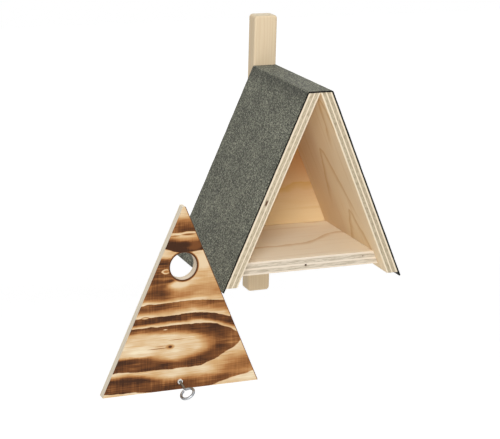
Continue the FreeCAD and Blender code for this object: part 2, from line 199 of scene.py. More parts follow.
class Graph:
    """The nodes of one material, with short calls for those that the finishes use."""

    mix_share, mix_first, mix_second, mix_result = 0, 6, 7, 2

    def __init__(self, name: str) -> None:
        """Start a material with a principled surface and object coordinates.

        Args:
            name: Name of the material.
        """
        self.material = bpy.data.materials.new(name)
        self.material.use_nodes = True
        self.tree = self.material.node_tree
        self.surface = self.tree.nodes["Principled BSDF"]
        self.place = self.tree.nodes.new("ShaderNodeTexCoord").outputs["Object"]

    def feed(self, socket: Socket, value: object) -> None:
        """Link a signal or a socket into a socket, or set it to a plain value.

        Args:
            socket: Where the value goes in.
            value: Signal, socket or plain value.
        """
        if isinstance(value, Signal):
            value = value.socket
        if isinstance(value, Socket):
            self.tree.links.new(value, socket)
        else:
            socket.default_value = value

    def add(self, kind: str, feeds: dict[str | int, object], **settings: object) -> bpy.types.Node:
        """Add a node.

        Args:
            kind: Node type.
            feeds: Input name or number to the value or signal that goes in.
            **settings: Properties of the node.

        Returns:
            The new node.
        """
        node = self.tree.nodes.new(kind)
        for key, value in settings.items():
            setattr(node, key, value)
        for key, value in feeds.items():
            self.feed(node.inputs[key], value)
        return node

    def calc(self, operation: str, *values: Signal | float) -> Signal:
        """Add a math node on one or two numbers."""
        node = self.add("ShaderNodeMath", dict(enumerate(values)), operation=operation)
        return Signal(self, node.outputs[0])

    def along(self, spot: Socket, direction: Triple) -> Signal:
        """Measure a point along a unit direction."""
        node = self.add("ShaderNodeVectorMath", {0: spot, 1: direction}, operation="DOT_PRODUCT")
        return Signal(self, node.outputs["Value"])

    def local(
        self, origin: Triple = (0, 0, 0), axes: Sequence[Triple] = PART_AXES,
    ) -> tuple[Signal, Signal, Signal, Socket]:
        """Measure the surface in millimetres in a frame of its own.

        Args:
            origin: The frame's origin in the part's frame, in millimetres.
            axes: Three unit directions.

        Returns:
            The three measures, and all of them as one vector.
        """
        scaled = self.add("ShaderNodeMapping", {
            "Vector": self.place,
            "Location": tuple(-value for value in origin),
            "Scale": (1 / MM,) * 3,
        }).outputs[0]
        first, second, third = (self.along(scaled, axis) for axis in axes)
        spot = self.add("ShaderNodeCombineXYZ", {0: first, 1: second, 2: third}).outputs[0]
        return first, second, third, spot

    def grainy(self, spot: Socket, scale: Triple, shift: float, detail: float = 2.0) -> Signal:
        """Soft random number from 0 to 1.

        Args:
            spot: Where it is read.
            scale: Grains for each unit of length, along each axis.
            shift: Moves the pattern, so that no two finishes share one.
            detail: Octaves of finer grain.

        Returns:
            The random number.
        """
        mapped = self.add("ShaderNodeMapping", {
            "Vector": spot, "Location": (shift,) * 3, "Scale": scale,
        })
        noise = self.add("ShaderNodeTexNoise", {
            "Vector": mapped.outputs[0], "Scale": 1.0, "Detail": detail,
        })
        return Signal(self, noise.outputs[0])

    def ramp(self, signal: Signal, stops: Sequence[tuple[float, Colour]]) -> Socket:
        """Look a number up on a strip of colours.

        Args:
            signal: Number from 0 to 1.
            stops: Place and linear colour of each stop, in order.

        Returns:
            The colour.
        """
        node = self.add("ShaderNodeValToRGB", {"Fac": signal})
        elements = node.color_ramp.elements
        while len(elements) < len(stops):
            elements.new(1.0)
        for element, (place, colour) in zip(elements, stops):
            element.position = place
            element.color = colour
        return node.outputs["Color"]

    def mix(self, share: Signal | float, first: object, second: object) -> Socket:
        """Mix two colours.

        Args:
            share: 0 for the first colour, 1 for the second.
            first: Colour or socket.
            second: Colour or socket.

        Returns:
            The mixed colour.
        """
        node = self.add("ShaderNodeMix", {
            self.mix_share: share, self.mix_first: first, self.mix_second: second,
        }, data_type="RGBA")
        return node.outputs[self.mix_result]

    def dress(self, colour: object, roughness: Signal | float, height: Signal, relief: float) -> None:
        """Feed the surface.

        Args:
            colour: Base colour.
            roughness: Roughness.
            height: Height of the fine relief, from 0 to 1.
            relief: Depth of that relief in millimetres.
        """
        bump = self.add("ShaderNodeBump", {"Height": height, "Distance": relief * MM, "Strength": 1.0})
        self.feed(self.surface.inputs["Base Color"], colour)
        self.feed(self.surface.inputs["Roughness"], roughness)
        self.feed(self.surface.inputs["Normal"], bump.outputs[0])


@dataclass(frozen=True)
class Stretch:
    """Something that comes in along a stretch: where it starts, where it is full, and how much it is."""

    start: float
    full: float
    amount: float = 1.0

    def at(self, place: Signal) -> Signal:
        """Amount at a place."""
        return place.fade(self.start, self.full) * self.amount


@dataclass(frozen=True)
class Sweep:
    """A growth line that runs along the grain and swings aside once."""

    level: float
    swing_by: float = 0.0
    swing_from: float = 0.0
    swing_to: float = 1.0

    def strength(self, along: Signal) -> Signal | float:
        """Keep the line at full strength over its whole length."""
        return 1.0

    def distance(self, across: Signal, along: Signal) -> Signal:
        """Measure how far a place lies past the line."""
        return across - along.fade(self.swing_from, self.swing_to) * self.swing_by - self.level


@dataclass(frozen=True)
class Arch:
    """A growth line that closes in a tall arch, opening towards lower places along the grain."""

    across: float
    along: float
    slope: float = 2.7
    shoulder: float = 9.0
    drift: float = 0.06
    reach: float = 75.0

    def strength(self, along: Signal) -> Signal | float:
        """Let the line run out at its reach below the arch."""
        return (along - self.along).fade(-self.reach, -0.5 * self.reach)

    def distance(self, across: Signal, along: Signal) -> Signal:
        """Measure how far a place lies above the arch.

        Args:
            across: Distance across the grain.
            along: Distance along the grain.

        Returns:
            The distance in millimetres, square to the line.
        """
        climb = along - self.along
        aside = (across - self.across - climb * self.drift) / self.shoulder
        bow = (aside * aside + 1.0).root()
        above = climb + (bow - 1.0) * (self.slope * self.shoulder)
        steep = aside / bow * self.slope
        return above / (steep * steep + 1.0).root()


@dataclass(frozen=True)
class Void:
    """A dark patch in a board's edge: a gap in a core ply, and at the floor's pilot hole painted shade in
    the hole's mouth.
    """

    through: float
    along: float
    width: float
    length: float


@dataclass(frozen=True)
class PlyFinish:
    """Bare pine plywood as a solid: plies through the thickness, growth lines in the face veneers."""

    name: str
    origin: Triple
    through: Triple
    across: Triple
    along: Triple
    plies: tuple[float, ...]
    figures: tuple[Sweep | Arch, ...]
    shift: float
    line_width: float = 2.4
    line_shade: float = 9.0
    core_grain: Triple = (1.1, 0.04, 0.22)
    core_pale: Colour = linear(214, 197, 167)
    core_deep: Colour = linear(156, 139, 110)
    pale: Colour = linear(247, 229, 198)
    deep: Colour = linear(238, 212, 173)
    # Heartwood tone, partly painted shade: the rear of the side boards and the top of the back, deep under
    # the roof, go darker and warmer.
    heart_and_shade_from: float = 60.0
    heart_and_shade_to: float = 94.0
    heart_and_shade_share: float = 0.0
    voids: tuple[Void, ...] = ()
    edge: Colour = linear(239, 224, 198)
    glue: Colour = linear(160, 132, 98)

    line = linear(200, 152, 58)
    # Colour of the heartwood tone, which also paints the shade deep inside the box.
    heart_and_painted_shade = linear(176, 109, 38)
    # Colour of the voids, and of the painted shade at the floor's pilot hole.
    gap = linear(92, 62, 40)

    # Growth lines and fibre of the face veneers.
    sway_grain, sway_by = (0.0, 0.02, 0.014), 9.0
    kink_grain, kink_by = (0.0, 0.06, 0.045), 13.0
    fibre_grain, fibre_share = (0.9, 1.1, 0.022), 0.7
    cloud_grain = (0.02, 0.03, 0.012)
    faint_grain = (0.0, 0.09, 0.006)
    faint_lines = Stretch(0.55, 0.75, 0.24)
    line_share = 0.5
    line_end = Stretch(0.8, 0.0, 0.42)

    # Plies and voids, as the edges show them.
    wave_grain, wave_by = (0.03, 0.05, 0.02), 0.6
    ply_blur = 0.1
    fleck_finer = (1.5, 2.5, 2.3)
    streak_tone = Stretch(0.36, 0.68, 0.7)
    fleck_tone = Stretch(0.54, 0.7, 0.4)
    glue_share = 0.5
    veneer_end = Stretch(0.3, 0.12)
    void_edge = Stretch(0.0, 0.8)

    # The sanded surface.
    nap_grain = (2.0, 2.4, 0.08)
    roughness, roughness_by = 0.56, 0.16
    relief, groove = 0.12, 0.4

    def stack(self, graph: Graph, through: Signal) -> Signal:
        """Tell the plies apart.

        Args:
            graph: The material's nodes.
            through: Distance from the first face in millimetres.

        Returns:
            1 in the plies that run along the board, 0 in those that cross it.
        """
        total = sum(self.plies)
        stops: list[tuple[float, Colour]] = []
        reached = 0.0
        for index, ply in enumerate(self.plies):
            shade = (1.0 - index % 2,) * 3 + (1.0,)
            start = reached + self.ply_blur if index else reached
            stops.append((start / total, shade))
            reached += ply
            stops.append(((reached - self.ply_blur) / total, shade))
        colour = graph.ramp(through / total, stops)
        return graph.along(colour, (1 / 3, 1 / 3, 1 / 3))

    def face(self, graph: Graph, spot: Socket, across: Signal, along: Signal) -> tuple[Socket, Signal]:
        """Colour the face veneers.

        Args:
            graph: The material's nodes.
            spot: Place in the board's own frame.
            across: Distance across the grain.
            along: Distance along the grain.

        Returns:
            The colour, and how far it is a growth line.
        """
        sway = graph.grainy(spot, self.sway_grain, self.shift, 3.0) - 0.5
        fibre = graph.grainy(spot, self.fibre_grain, self.shift + 3, 3.0) - 0.5
        cloud = graph.grainy(spot, self.cloud_grain, self.shift + 7, 1.0)
        faint = graph.grainy(spot, self.faint_grain, self.shift + 11, 2.0)
        kink = graph.grainy(spot, self.kink_grain, self.shift + 13, 2.0) - 0.5
        swayed = across + sway * self.sway_by
        line = self.faint_lines.at(faint)
        for figure in self.figures:
            past = figure.distance(swayed + kink * self.kink_by, along + sway * self.sway_by)
            core = past.hump(0.0, self.line_width) * self.line_share
            shade = past.fade(-self.line_shade, 0.0) * self.line_end.at(past)
            line = line.most(core.most(shade) * figure.strength(along))
        base = graph.mix(fibre * self.fibre_share + cloud, self.pale, self.deep)
        # Heartwood tone and painted shade: darker and warmer towards the far end of the board, where the
        # inside of the box lies in shade.
        heart_and_painted_shade = swayed.fade(self.heart_and_shade_from, self.heart_and_shade_to)
        base = graph.mix(heart_and_painted_shade * self.heart_and_shade_share, base, self.heart_and_painted_shade)
        return graph.mix(line, base, self.line), line

    def cross_ply(self, graph: Graph, spot: Socket) -> Socket:
        """Colour the end grain of the plies that cross the board.

        Args:
            graph: The material's nodes.
            spot: Place in the board's own frame.

        Returns:
            The colour.
        """
        streak = graph.grainy(spot, self.core_grain, self.shift + 17, 4.0)
        finer = tuple(grain * ratio for grain, ratio in zip(self.core_grain, self.fleck_finer))
        fleck = graph.grainy(spot, finer, self.shift + 23, 2.0)
        tone = self.streak_tone.at(streak) + self.fleck_tone.at(fleck)
        return graph.mix(tone, self.core_pale, self.core_deep)

    def tone(
        self, graph: Graph, colour: Socket, places: tuple[Signal, Signal, Signal], spot: Socket,
    ) -> Socket:
        """Add what is on top of the bare wood: here the voids in its core, and the painted shade at the
        floor's pilot hole.

        Args:
            graph: The material's nodes.
            colour: Colour of the bare wood.
            places: Distance through the board, across its grain and along it.
            spot: Place in the board's own frame. Not used here.

        Returns:
            The finished colour.
        """
        through, _, along = places
        for void in self.voids:
            mark = through.hump(void.through, void.width).least(along.hump(void.along, void.length))
            colour = graph.mix(self.void_edge.at(mark), colour, self.gap)
        return colour

    def material(self) -> bpy.types.Material:
        """Make the material.

        Returns:
            The material.
        """
        graph = Graph(self.name)
        through, across, along, spot = graph.local(self.origin, (self.through, self.across, self.along))
        wave = graph.grainy(spot, self.wave_grain, self.shift + 31, 1.0) - 0.5
        lengthwise = self.stack(graph, through + wave * self.wave_by)
        colour = graph.mix(lengthwise, self.cross_ply(graph, spot), self.edge)
        seam = 1.0 - abs(lengthwise * 2.0 - 1.0)
        colour = graph.mix(seam * self.glue_share, colour, self.glue)
        veneer, line = self.face(graph, spot, across, along)
        inside = through.least(sum(self.plies) - through)
        colour = graph.mix(self.veneer_end.at(inside), colour, veneer)
        colour = self.tone(graph, colour, (through, across, along), spot)
        nap = graph.grainy(spot, self.nap_grain, self.shift + 37, 3.0)
        graph.surface.inputs["Specular IOR Level"].default_value = WOOD_SHEEN
        rough = nap * self.roughness_by + self.roughness
        graph.dress(colour, rough, nap - line * self.groove, self.relief)
        return graph.material


@dataclass(frozen=True)
class Lens:
    """A mark in the scorched face, pointed or round, such as a knot, an eye, a check or a pale patch."""

    along: float
    across: float
    half_length: float
    half_height: float
    burn: float
    softness: float = 0.3
    pointed: bool = True

    def laid_on(self, figure: Signal, across: Signal, along: Signal) -> Signal:
        """Lay the mark on a figure.

        Args:
            figure: Burn of the face so far.
            across: Distance across the grain.
            along: Distance along the grain.

        Returns:
            The burn with the mark on it.
        """
        aside = (along - self.along) / self.half_length
        above = abs(across - self.across) / self.half_height
        above = above if self.pointed else above * above
        inside = (aside * aside + above).fade(1 + self.softness, 1 - self.softness)
        return figure + (self.burn - figure) * inside


@dataclass(frozen=True)
class ScorchFinish(PlyFinish):
    """Plywood whose front face was flamed: growth rings go dark towards their outer, sharp edge.

    Places on the face are millimetres along the grain from the middle, and above the front's base.
    """

    hole_height: float = 135.0
    hole_radius: float = 14.5
    half_base: float = 86.5
    lean: float = math.radians(23.2)
    marks: tuple[Lens, ...] = (
        Lens(-5, 115.5, 11, 4.0, 0.1, 0.95, False),
        Lens(22, 139, 11, 9, 0.11, 0.8, False),
        Lens(12, 156, 8, 4.8, 0.75, 0.8, False),
        Lens(-1, 158, 9, 3.6, 1.0, 0.8, False),
        Lens(5, 168.9, 8, 0.8, 0.75, 0.8),
        Lens(-10, 168.2, 6, 0.6, 0.6, 0.8),
        Lens(-19, 131, 5.4, 2.8, 0.12),
        Lens(-18.6, 131, 3.6, 1.5, 0.52),
        Lens(-41, 82.5, 5.0, 1.4, 0.75),
        Lens(-41, 82.5, 4.0, 0.8, 0.2),
        Lens(-19, 68, 2.4, 0.6, 0.15),
        Lens(-13.6, 48.7, 4.4, 2.5, 0.45, 0.9, False),
        Lens(-13.4, 48.6, 2.0, 1.4, 0.9, 0.6, False),
        Lens(-26, 47.8, 13, 0.5, 0.6),
        Lens(-23, 50.2, 7, 0.35, 0.5),
        Lens(-6, 55.8, 10, 0.4, 0.5),
    )

    cream = linear(235, 220, 189)
    honey = linear(204, 163, 112)
    brown = linear(170, 115, 64)
    umber = linear(112, 66, 30)
    soot = linear(59, 31, 10)

    # The large oval.
    eye_across, eye_reach, eye_rise, eye_fall, eye_lead = 48.3, 67.0, 23.9, 24.3, 18.0
    pinch_right = Stretch(18.0, 56.0, 5.5)
    pinch_left = Stretch(-30.0, -75.0, 2.0)
    eye_left = Stretch(-5.0, -50.0)
    eye_over = Stretch(46.0, 58.0, 0.12)
    eye_under = Stretch(47.0, 37.0, 0.34)
    eye_right = Stretch(4.0, 26.0, 0.1)
    eye_dark = Stretch(0.47, 0.89)
    eye_edge = Stretch(1.012, 0.99)
    eye_far = Stretch(24.0, 50.0, -0.1)
    eye_burn = 0.72

    # The rings over it: height of each edge in the middle, with its fall towards the right.
    ring_edges = ((73.4, 0.0042), (83.8, 0.0037), (97.2, 0.0020))
    ring_sag = 0.0007
    ring_level = (-10.0, 5.0)
    ring_edge = Stretch(1.03, 0.99)
    low_ring = Stretch(0.04, 0.5, 0.74)
    high_ring = Stretch(0.05, 0.76)
    high_left = Stretch(-8.0, -40.0, 0.14)
    high_burn = 0.6
    glow_foot = Stretch(97.4, 103.0)
    glow_top = Stretch(119.0, 106.0)
    glow_fall = Stretch(5.0, -20.0, -8.0)
    glow_left = Stretch(-4.0, -26.0, 0.27)
    glow_burn = 0.28

    # The band at the foot, with a pale corner on its right and a pale strip below its left.
    outside_eye = Stretch(1.0, 1.02)
    below_eye = Stretch(6.0, -6.0)
    flank = Stretch(20.0, 60.0)
    flank_top = Stretch(40.0, 26.0, 0.36)
    foot_rise = Stretch(-8.0, -66.0, -8.0)
    foot_top = Stretch(17.0, 8.0)
    foot_left = Stretch(0.0, -45.0, 0.2)
    foot_burn = 0.62
    corner_along, corner_height, corner_slope = 31.5, 0.3, 0.225
    corner_edge = Stretch(-0.4, 0.5)
    corner_end = Stretch(33.0, 24.0)
    strip_along, strip_slope = -38.0, 0.1
    strip_edge = Stretch(-0.3, 0.5)

    # The two bands near the tip.
    band_level, band_left, band_right = 3.0, 0.33, 0.06
    band_foot = Stretch(149.4, 150.8, 0.9)
    band_top = Stretch(169.0, 155.0)
    tip_foot = Stretch(170.6, 172.2, 0.68)
    tip_top = Stretch(192.0, 178.0)

    # Beside the entrance: dark streaks on its left, tan wood on its right.
    dark_start = Stretch(-4.0, -14.0)
    dark_foot = Stretch(108.0, 122.0)
    dark_top = Stretch(148.0, 142.0)
    dark_burn, streak_burn = 0.48, 0.28
    streaky = Stretch(0.34, 0.62)
    tan_start = Stretch(6.0, 22.0, 0.18)
    tan_foot = Stretch(100.0, 112.0)
    tan_top = Stretch(142.0, 118.0)

    # The charred entrance rim, a browner wall inside it, a thin dark line along the right edge, and the
    # grain.
    rim_char = Stretch(3.4, 0.9, 0.92)
    hole_wall_brown = Stretch(0.7, 0.3, 0.12)
    right_edge_dark = Stretch(1.2, 0.5, 0.8)
    char_end = Stretch(0.7, 0.28)
    drift_grain, drift_by = (0.0, 0.03, 0.014), 4.0
    waver_grain, waver_by = (0.0, 0.14, 0.06), 4.5
    streak_grain = (0.0, 0.5, 0.022)
    char_grain, char_share = (0.0, 1.3, 0.03), 0.4
    hatch_grain, hatch_share = (0.0, 0.03, 0.7), 0.55
    patch_grain, patch_share, cloud_share = (0.0, 0.07, 0.03), 0.8, 0.5
    warmth = 0.15

    def oval(self, along: Signal, height: Signal, lead: float = 0.0) -> Signal:
        """Share of the way from the middle of the large oval to its edge.

        Args:
            along: Distance along the grain.
            height: Height above the front's base.
            lead: How far to the left the oval's round end starts.

        Returns:
            0 in the middle, 1 at the edge.
        """
        flat = (along + lead).most(0.0) / (self.eye_reach + lead)
        above = height - self.eye_across
        pinch = self.pinch_right.at(along) + self.pinch_left.at(along)
        steep = (above / self.eye_rise).most((pinch - above) / self.eye_fall)
        return (flat * flat + steep * steep).root()

    def ring(self, height: Signal, low: Signal, high: Signal, rise: Stretch) -> Signal:
        """Darken one ring upwards, up to the sharp edge that bounds it.

        Args:
            height: Height above the front's base.
            low: Height at which the ring starts.
            high: Height at which it ends.
            rise: Shares of the ring at which it starts to darken and is darkest, and its burn there.

        Returns:
            Burn from 0 to 1, 0 outside the ring.
        """
        share = (height - low) / (high - low)
        return rise.at(share) * self.ring_edge.at(share)

    def eye_figure(self, along: Signal, height: Signal) -> Signal:
        """Darken the large oval towards its edge.

        Args:
            along: Distance along the grain.
            height: Height above the front's base.

        Returns:
            Burn from 0 to 1.
        """
        thinner = self.eye_left.at(along) * (self.eye_over.at(height) - self.eye_under.at(height))
        inner = self.oval(along, height, self.eye_lead) - thinner + self.eye_right.at(along)
        inner = self.eye_dark.at(inner) * self.eye_edge.at(self.oval(along, height))
        return inner * (self.eye_far.at(along) + self.eye_burn)

    def ring_figure(self, along: Signal, height: Signal) -> Signal:
        """Darken the two rings over the oval and the glow above them.

        Args:
            along: Distance along the grain.
            height: Height above the front's base.

        Returns:
            Burn from 0 to 1.
        """
        left_end, right_end = self.ring_level
        right = (along - right_end).most(0.0)
        left = (left_end - along).most(0.0)
        first, second, third = (
            level - right * right * drop - left * left * self.ring_sag for level, drop in self.ring_edges
        )
        low = self.ring(height, first, second, self.low_ring)
        high = self.ring(height, second, third, self.high_ring)
        high = high * (self.high_left.at(along) + self.high_burn)
        glow = self.glow_foot.at(height) * self.glow_top.at(height + self.glow_fall.at(along))
        return low.most(high).most(glow * (self.glow_left.at(along) + self.glow_burn))

    def foot_figure(self, along: Signal, height: Signal) -> Signal:
        """Darken the band at the foot, below the oval.

        Args:
            along: Distance along the grain.
            height: Height above the front's base.

        Returns:
            Burn from 0 to 1.
        """
        outside = self.outside_eye.at(self.oval(along, height))
        outside = outside * self.below_eye.at(height - self.eye_across)
        flank = self.flank.at(along) * self.flank_top.at(height)
        foot = self.foot_top.at(height + self.foot_rise.at(along))
        foot = foot * (self.foot_left.at(along) + self.foot_burn)
        over_corner = height - self.corner_height - (along - self.corner_along) * self.corner_slope
        corner = self.corner_edge.at(over_corner).most(self.corner_end.at(along))
        strip = self.strip_edge.at(height + (along - self.strip_along) * self.strip_slope)
        return flank.most(foot) * corner * strip * outside

    def tip_figure(self, along: Signal, height: Signal) -> Signal:
        """Darken the two bands near the tip.

        Args:
            along: Distance along the grain.
            height: Height above the front's base.

        Returns:
            Burn from 0 to 1.
        """
        left = (-self.band_level - along).most(0.0) * self.band_left
        right = (along - self.band_level).most(0.0) * self.band_right
        band = height - (left + right)
        lower = self.band_foot.at(band) * self.band_top.at(band)
        return lower.most(self.tip_foot.at(height) * self.tip_top.at(height))

    def entrance_figure(self, along: Signal, height: Signal, streaks: Signal) -> Signal:
        """Darken the wood on both sides of the entrance.

        Args:
            along: Distance along the grain.
            height: Height above the front's base.
            streaks: Fine streaks along the grain, from 0 to 1.

        Returns:
            Burn from 0 to 1.
        """
        dark = self.dark_start.at(along) * self.dark_foot.at(height) * self.dark_top.at(height)
        tan = self.tan_start.at(along) * self.tan_foot.at(height) * self.tan_top.at(height)
        return (dark * (streaks * self.streak_burn + self.dark_burn)).most(tan)

    def tone(
        self, graph: Graph, colour: Socket, places: tuple[Signal, Signal, Signal], spot: Socket,
    ) -> Socket:
        """Lay the scorch over the front face and its entrance rim, brown the entrance's wall a little, and
        darken a thin line along the right edge.

        Args:
            graph: The material's nodes.
            colour: Colour of the bare wood.
            places: Distance through the board, across its grain and along it.
            spot: Place in the board's own frame.

        Returns:
            The finished colour.
        """
        through, across, along = places
        drift = graph.grainy(spot, self.drift_grain, self.shift + 41, 2.0) - 0.5
        waver = graph.grainy(spot, self.waver_grain, self.shift + 43, 4.0) - 0.5
        streaks = self.streaky.at(graph.grainy(spot, self.streak_grain, self.shift + 47, 3.0))
        height = across + drift * self.drift_by + waver * self.waver_by
        burn = self.entrance_figure(along, height, streaks)
        for part in (self.eye_figure, self.ring_figure, self.foot_figure, self.tip_figure):
            burn = burn.most(part(along, height))
        fibre = graph.grainy(spot, self.char_grain, self.shift + 53, 3.0) - 0.5
        hatch = graph.grainy(spot, self.hatch_grain, self.shift + 59, 2.0) - 0.5
        patch = graph.grainy(spot, self.patch_grain, self.shift + 61, 2.0) - 0.5
        grain = fibre * (burn + 1.0) * self.char_share
        grain = grain + (hatch * self.hatch_share + patch * self.patch_share) * burn
        figure = burn + grain + patch * self.cloud_share + self.warmth
        for mark in self.marks:
            figure = mark.laid_on(figure, across, along)
        rise = across - self.hole_height
        rim = (along * along + rise * rise).root() - self.hole_radius
        # A thin dark line along the right slanted edge.
        edge = (self.half_base - along - across * math.tan(self.lean)) * math.cos(self.lean)
        figure = figure.most(self.rim_char.at(rim)).most(self.right_edge_dark.at(edge))
        # Browns the wall of the entrance a little.
        colour = graph.mix(self.hole_wall_brown.at(rim), colour, self.brown)
        scorched = graph.ramp(figure, (
            (0.0, self.cream), (0.25, self.honey), (0.5, self.brown), (0.75, self.umber), (1.0, self.soot),
        ))
        return graph.mix(self.char_end.at(through), colour, scorched)


@dataclass(frozen=True)
class SpruceFinish:
    """Planed spruce with narrow growth lines along its length."""

    name: str
    spacing: float = 2.6
    shift: float = 5.0
    half_length: float = 161.0

    pale = linear(232, 213, 182)
    deep = linear(222, 199, 164)
    line = linear(206, 174, 132)
    end = linear(206, 192, 164)

    sway_grain, sway_by = (0.05, 0.05, 0.006), 3.0
    fibre_grain = (1.2, 1.2, 0.03)
    ring_lean = (0.8, 0.6)
    line_rise = Stretch(0.35, 0.9)
    line_end = Stretch(1.0, 0.93)
    line_share = 0.2
    sawn_end = Stretch(-1.2, -0.2, 0.8)
    roughness, roughness_by = 0.55, 0.15
    relief, groove = 0.1, 0.3

    def material(self) -> bpy.types.Material:
        """Make the material.

        Returns:
            The material.
        """
        graph = Graph(self.name)
        wide, deep, tall, spot = graph.local()
        sway = graph.grainy(spot, self.sway_grain, self.shift, 2.0) - 0.5
        fibre = graph.grainy(spot, self.fibre_grain, self.shift + 3, 3.0)
        lean_wide, lean_deep = self.ring_lean
        turn = ((wide * lean_wide + deep * lean_deep) / self.spacing + sway * self.sway_by).part()
        line = self.line_rise.at(turn) * self.line_end.at(turn)
        base = graph.mix(fibre, self.pale, self.deep)
        colour = graph.mix(line * self.line_share, base, self.line)
        colour = graph.mix(self.sawn_end.at(abs(tall) - self.half_length), colour, self.end)
        graph.surface.inputs["Specular IOR Level"].default_value = WOOD_SHEEN
        rough = fibre * self.roughness_by + self.roughness
        graph.dress(colour, rough, fibre - line * self.groove, self.relief)
        return graph.material


@dataclass(frozen=True)
class FeltFinish:
    """Roofing felt: mineral grit bedded in bitumen, with painted shade on the slopes just under the ridge
    fold.
    """

    name: str
    ridge: float
    grit: float = 0.9

    dark = linear(42, 42, 35)
    middle = linear(88, 89, 76)
    light = linear(166, 166, 147)

    stone_share, base_share = 0.7, 0.14
    clump_grain, clump_share = (0.5, 0.5, 0.5), 0.42
    bed_grain, bed_share = (0.04, 0.04, 0.04), 0.3
    # Painted shade: the slopes go darker in a band just below the ridge fold.
    painted_fold_shade = Stretch(-16.0, 0.0, 0.18)
    painted_fold_shade_end = Stretch(1.2, 0.6)
    roughness, roughness_by, relief = 0.75, 0.2, 0.5

    def material(self) -> bpy.types.Material:
        """Make the material.

        Returns:
            The material.
        """
        graph = Graph(self.name)
        *_, tall, spot = graph.local()
        cells = graph.add("ShaderNodeTexVoronoi", {"Vector": spot, "Scale": self.grit})
        stone = graph.along(cells.outputs["Color"], (1.0, 0.0, 0.0))
        dome = Signal(graph, cells.outputs["Distance"])
        clump = graph.grainy(spot, self.clump_grain, 3.0, 2.0) - 0.5
        bed = graph.grainy(spot, self.bed_grain, 9.0, 2.0) - 0.5
        over = tall - self.ridge
        shade = stone * self.stone_share + clump * self.clump_share + bed * self.bed_share
        # Take the painted shade off the grit's tone in the band just below the ridge fold.
        shade = shade - self.painted_fold_shade.at(over) * self.painted_fold_shade_end.at(over) + self.base_share
        colour = graph.ramp(shade, ((0.12, self.dark), (0.5, self.middle), (0.92, self.light)))
        graph.dress(colour, stone * self.roughness_by + self.roughness, 1.0 - dome, self.relief)
        return graph.material


@dataclass(frozen=True)
class BitumenFinish:
    """Cut edge and underside of the felt."""

    name: str

    black = linear(20, 19, 16)
    worn = linear(46, 43, 37)

    tear_grain = (0.9, 0.9, 0.9)
    wear = Stretch(0.5, 0.8)
    roughness, roughness_by, relief = 0.5, 0.3, 0.2

    def material(self) -> bpy.types.Material:
        """Make the material.

        Returns:
            The material.
        """
        graph = Graph(self.name)
        *_, spot = graph.local()
        tear = graph.grainy(spot, self.tear_grain, 13.0, 3.0)
        colour = graph.mix(self.wear.at(tear), self.black, self.worn)
        graph.surface.inputs["Specular IOR Level"].default_value = BITUMEN_SHEEN
        graph.dress(colour, tear * self.roughness_by + self.roughness, tear, self.relief)
        return graph.material


@dataclass(frozen=True)
class ZincFinish:
    """Bright zinc plating with a faint spangle and duller patches."""

    name: str
    bright: Colour
    dull: Colour
    rim: Colour
    roughness: float = 0.3

    patch_grain = (0.5, 0.5, 0.5)
    spangle_grain = (2.5, 2.5, 2.5)
    dulled = Stretch(0.35, 0.7)
    roughness_by, relief = 0.16, 0.03

    def material(self) -> bpy.types.Material:
        """Make the material.

        Returns:
            The material.
        """
        graph = Graph(self.name)
        *_, spot = graph.local()
        patch = graph.grainy(spot, self.patch_grain, 21.0, 2.0)
        spangle = graph.grainy(spot, self.spangle_grain, 27.0, 2.0)
        colour = graph.mix(self.dulled.at(patch), self.bright, self.dull)
        graph.surface.inputs["Metallic"].default_value = 1.0
        graph.surface.inputs["Specular Tint"].default_value = self.rim
        graph.dress(colour, spangle * self.roughness_by + self.roughness, spangle, self.relief)
        return graph.material


def split(geometry: Sequence) -> tuple[list[bmesh.types.BMVert], list[bmesh.types.BMEdge]]:
    """Pick the vertices and the edges out of what an operator made.

    Args:
        geometry: Vertices, edges and faces.

    Returns:
        The vertices, and the edges.
    """
    verts = [item for item in geometry if isinstance(item, bmesh.types.BMVert)]
    edges = [item for item in geometry if isinstance(item, bmesh.types.BMEdge)]
    return verts, edges


def ease(bm: BMesh, edges: Sequence[bmesh.types.BMEdge], width: float, segments: int) -> None:
    """Round edges off.

    Args:
        bm: The shape.
        edges: Edges to round.
        width: Width of the rounding, in the shape's own unit.
        segments: Facets across it.
    """
    bmesh.ops.bevel(
        bm, geom=edges, offset=width, segments=segments, profile=0.5, affect="EDGES", material=-1,
        clamp_overlap=True,
    )


def prism(outline: Sequence[Pair], front: float, depth: float, arris: float) -> BMesh:
    """Draw a board in front view and extrude it backwards, in millimetres.

    Args:
        outline: X and Z of each corner.
        front: Y of the front face.
        depth: Length along +Y.
        arris: Width of the eased edges.

    Returns:
        The board.
    """
    bm = bmesh.new()
    face = bm.faces.new([bm.verts.new((x * MM, front * MM, z * MM)) for x, z in outline])
    rear, _ = split(bmesh.ops.extrude_face_region(bm, geom=[face])["geom"])
    bmesh.ops.translate(bm, verts=rear, vec=(0, depth * MM, 0))
    bmesh.ops.recalc_face_normals(bm, faces=bm.faces)
    ease(bm, list(bm.edges), arris * MM, 2)
    return bm


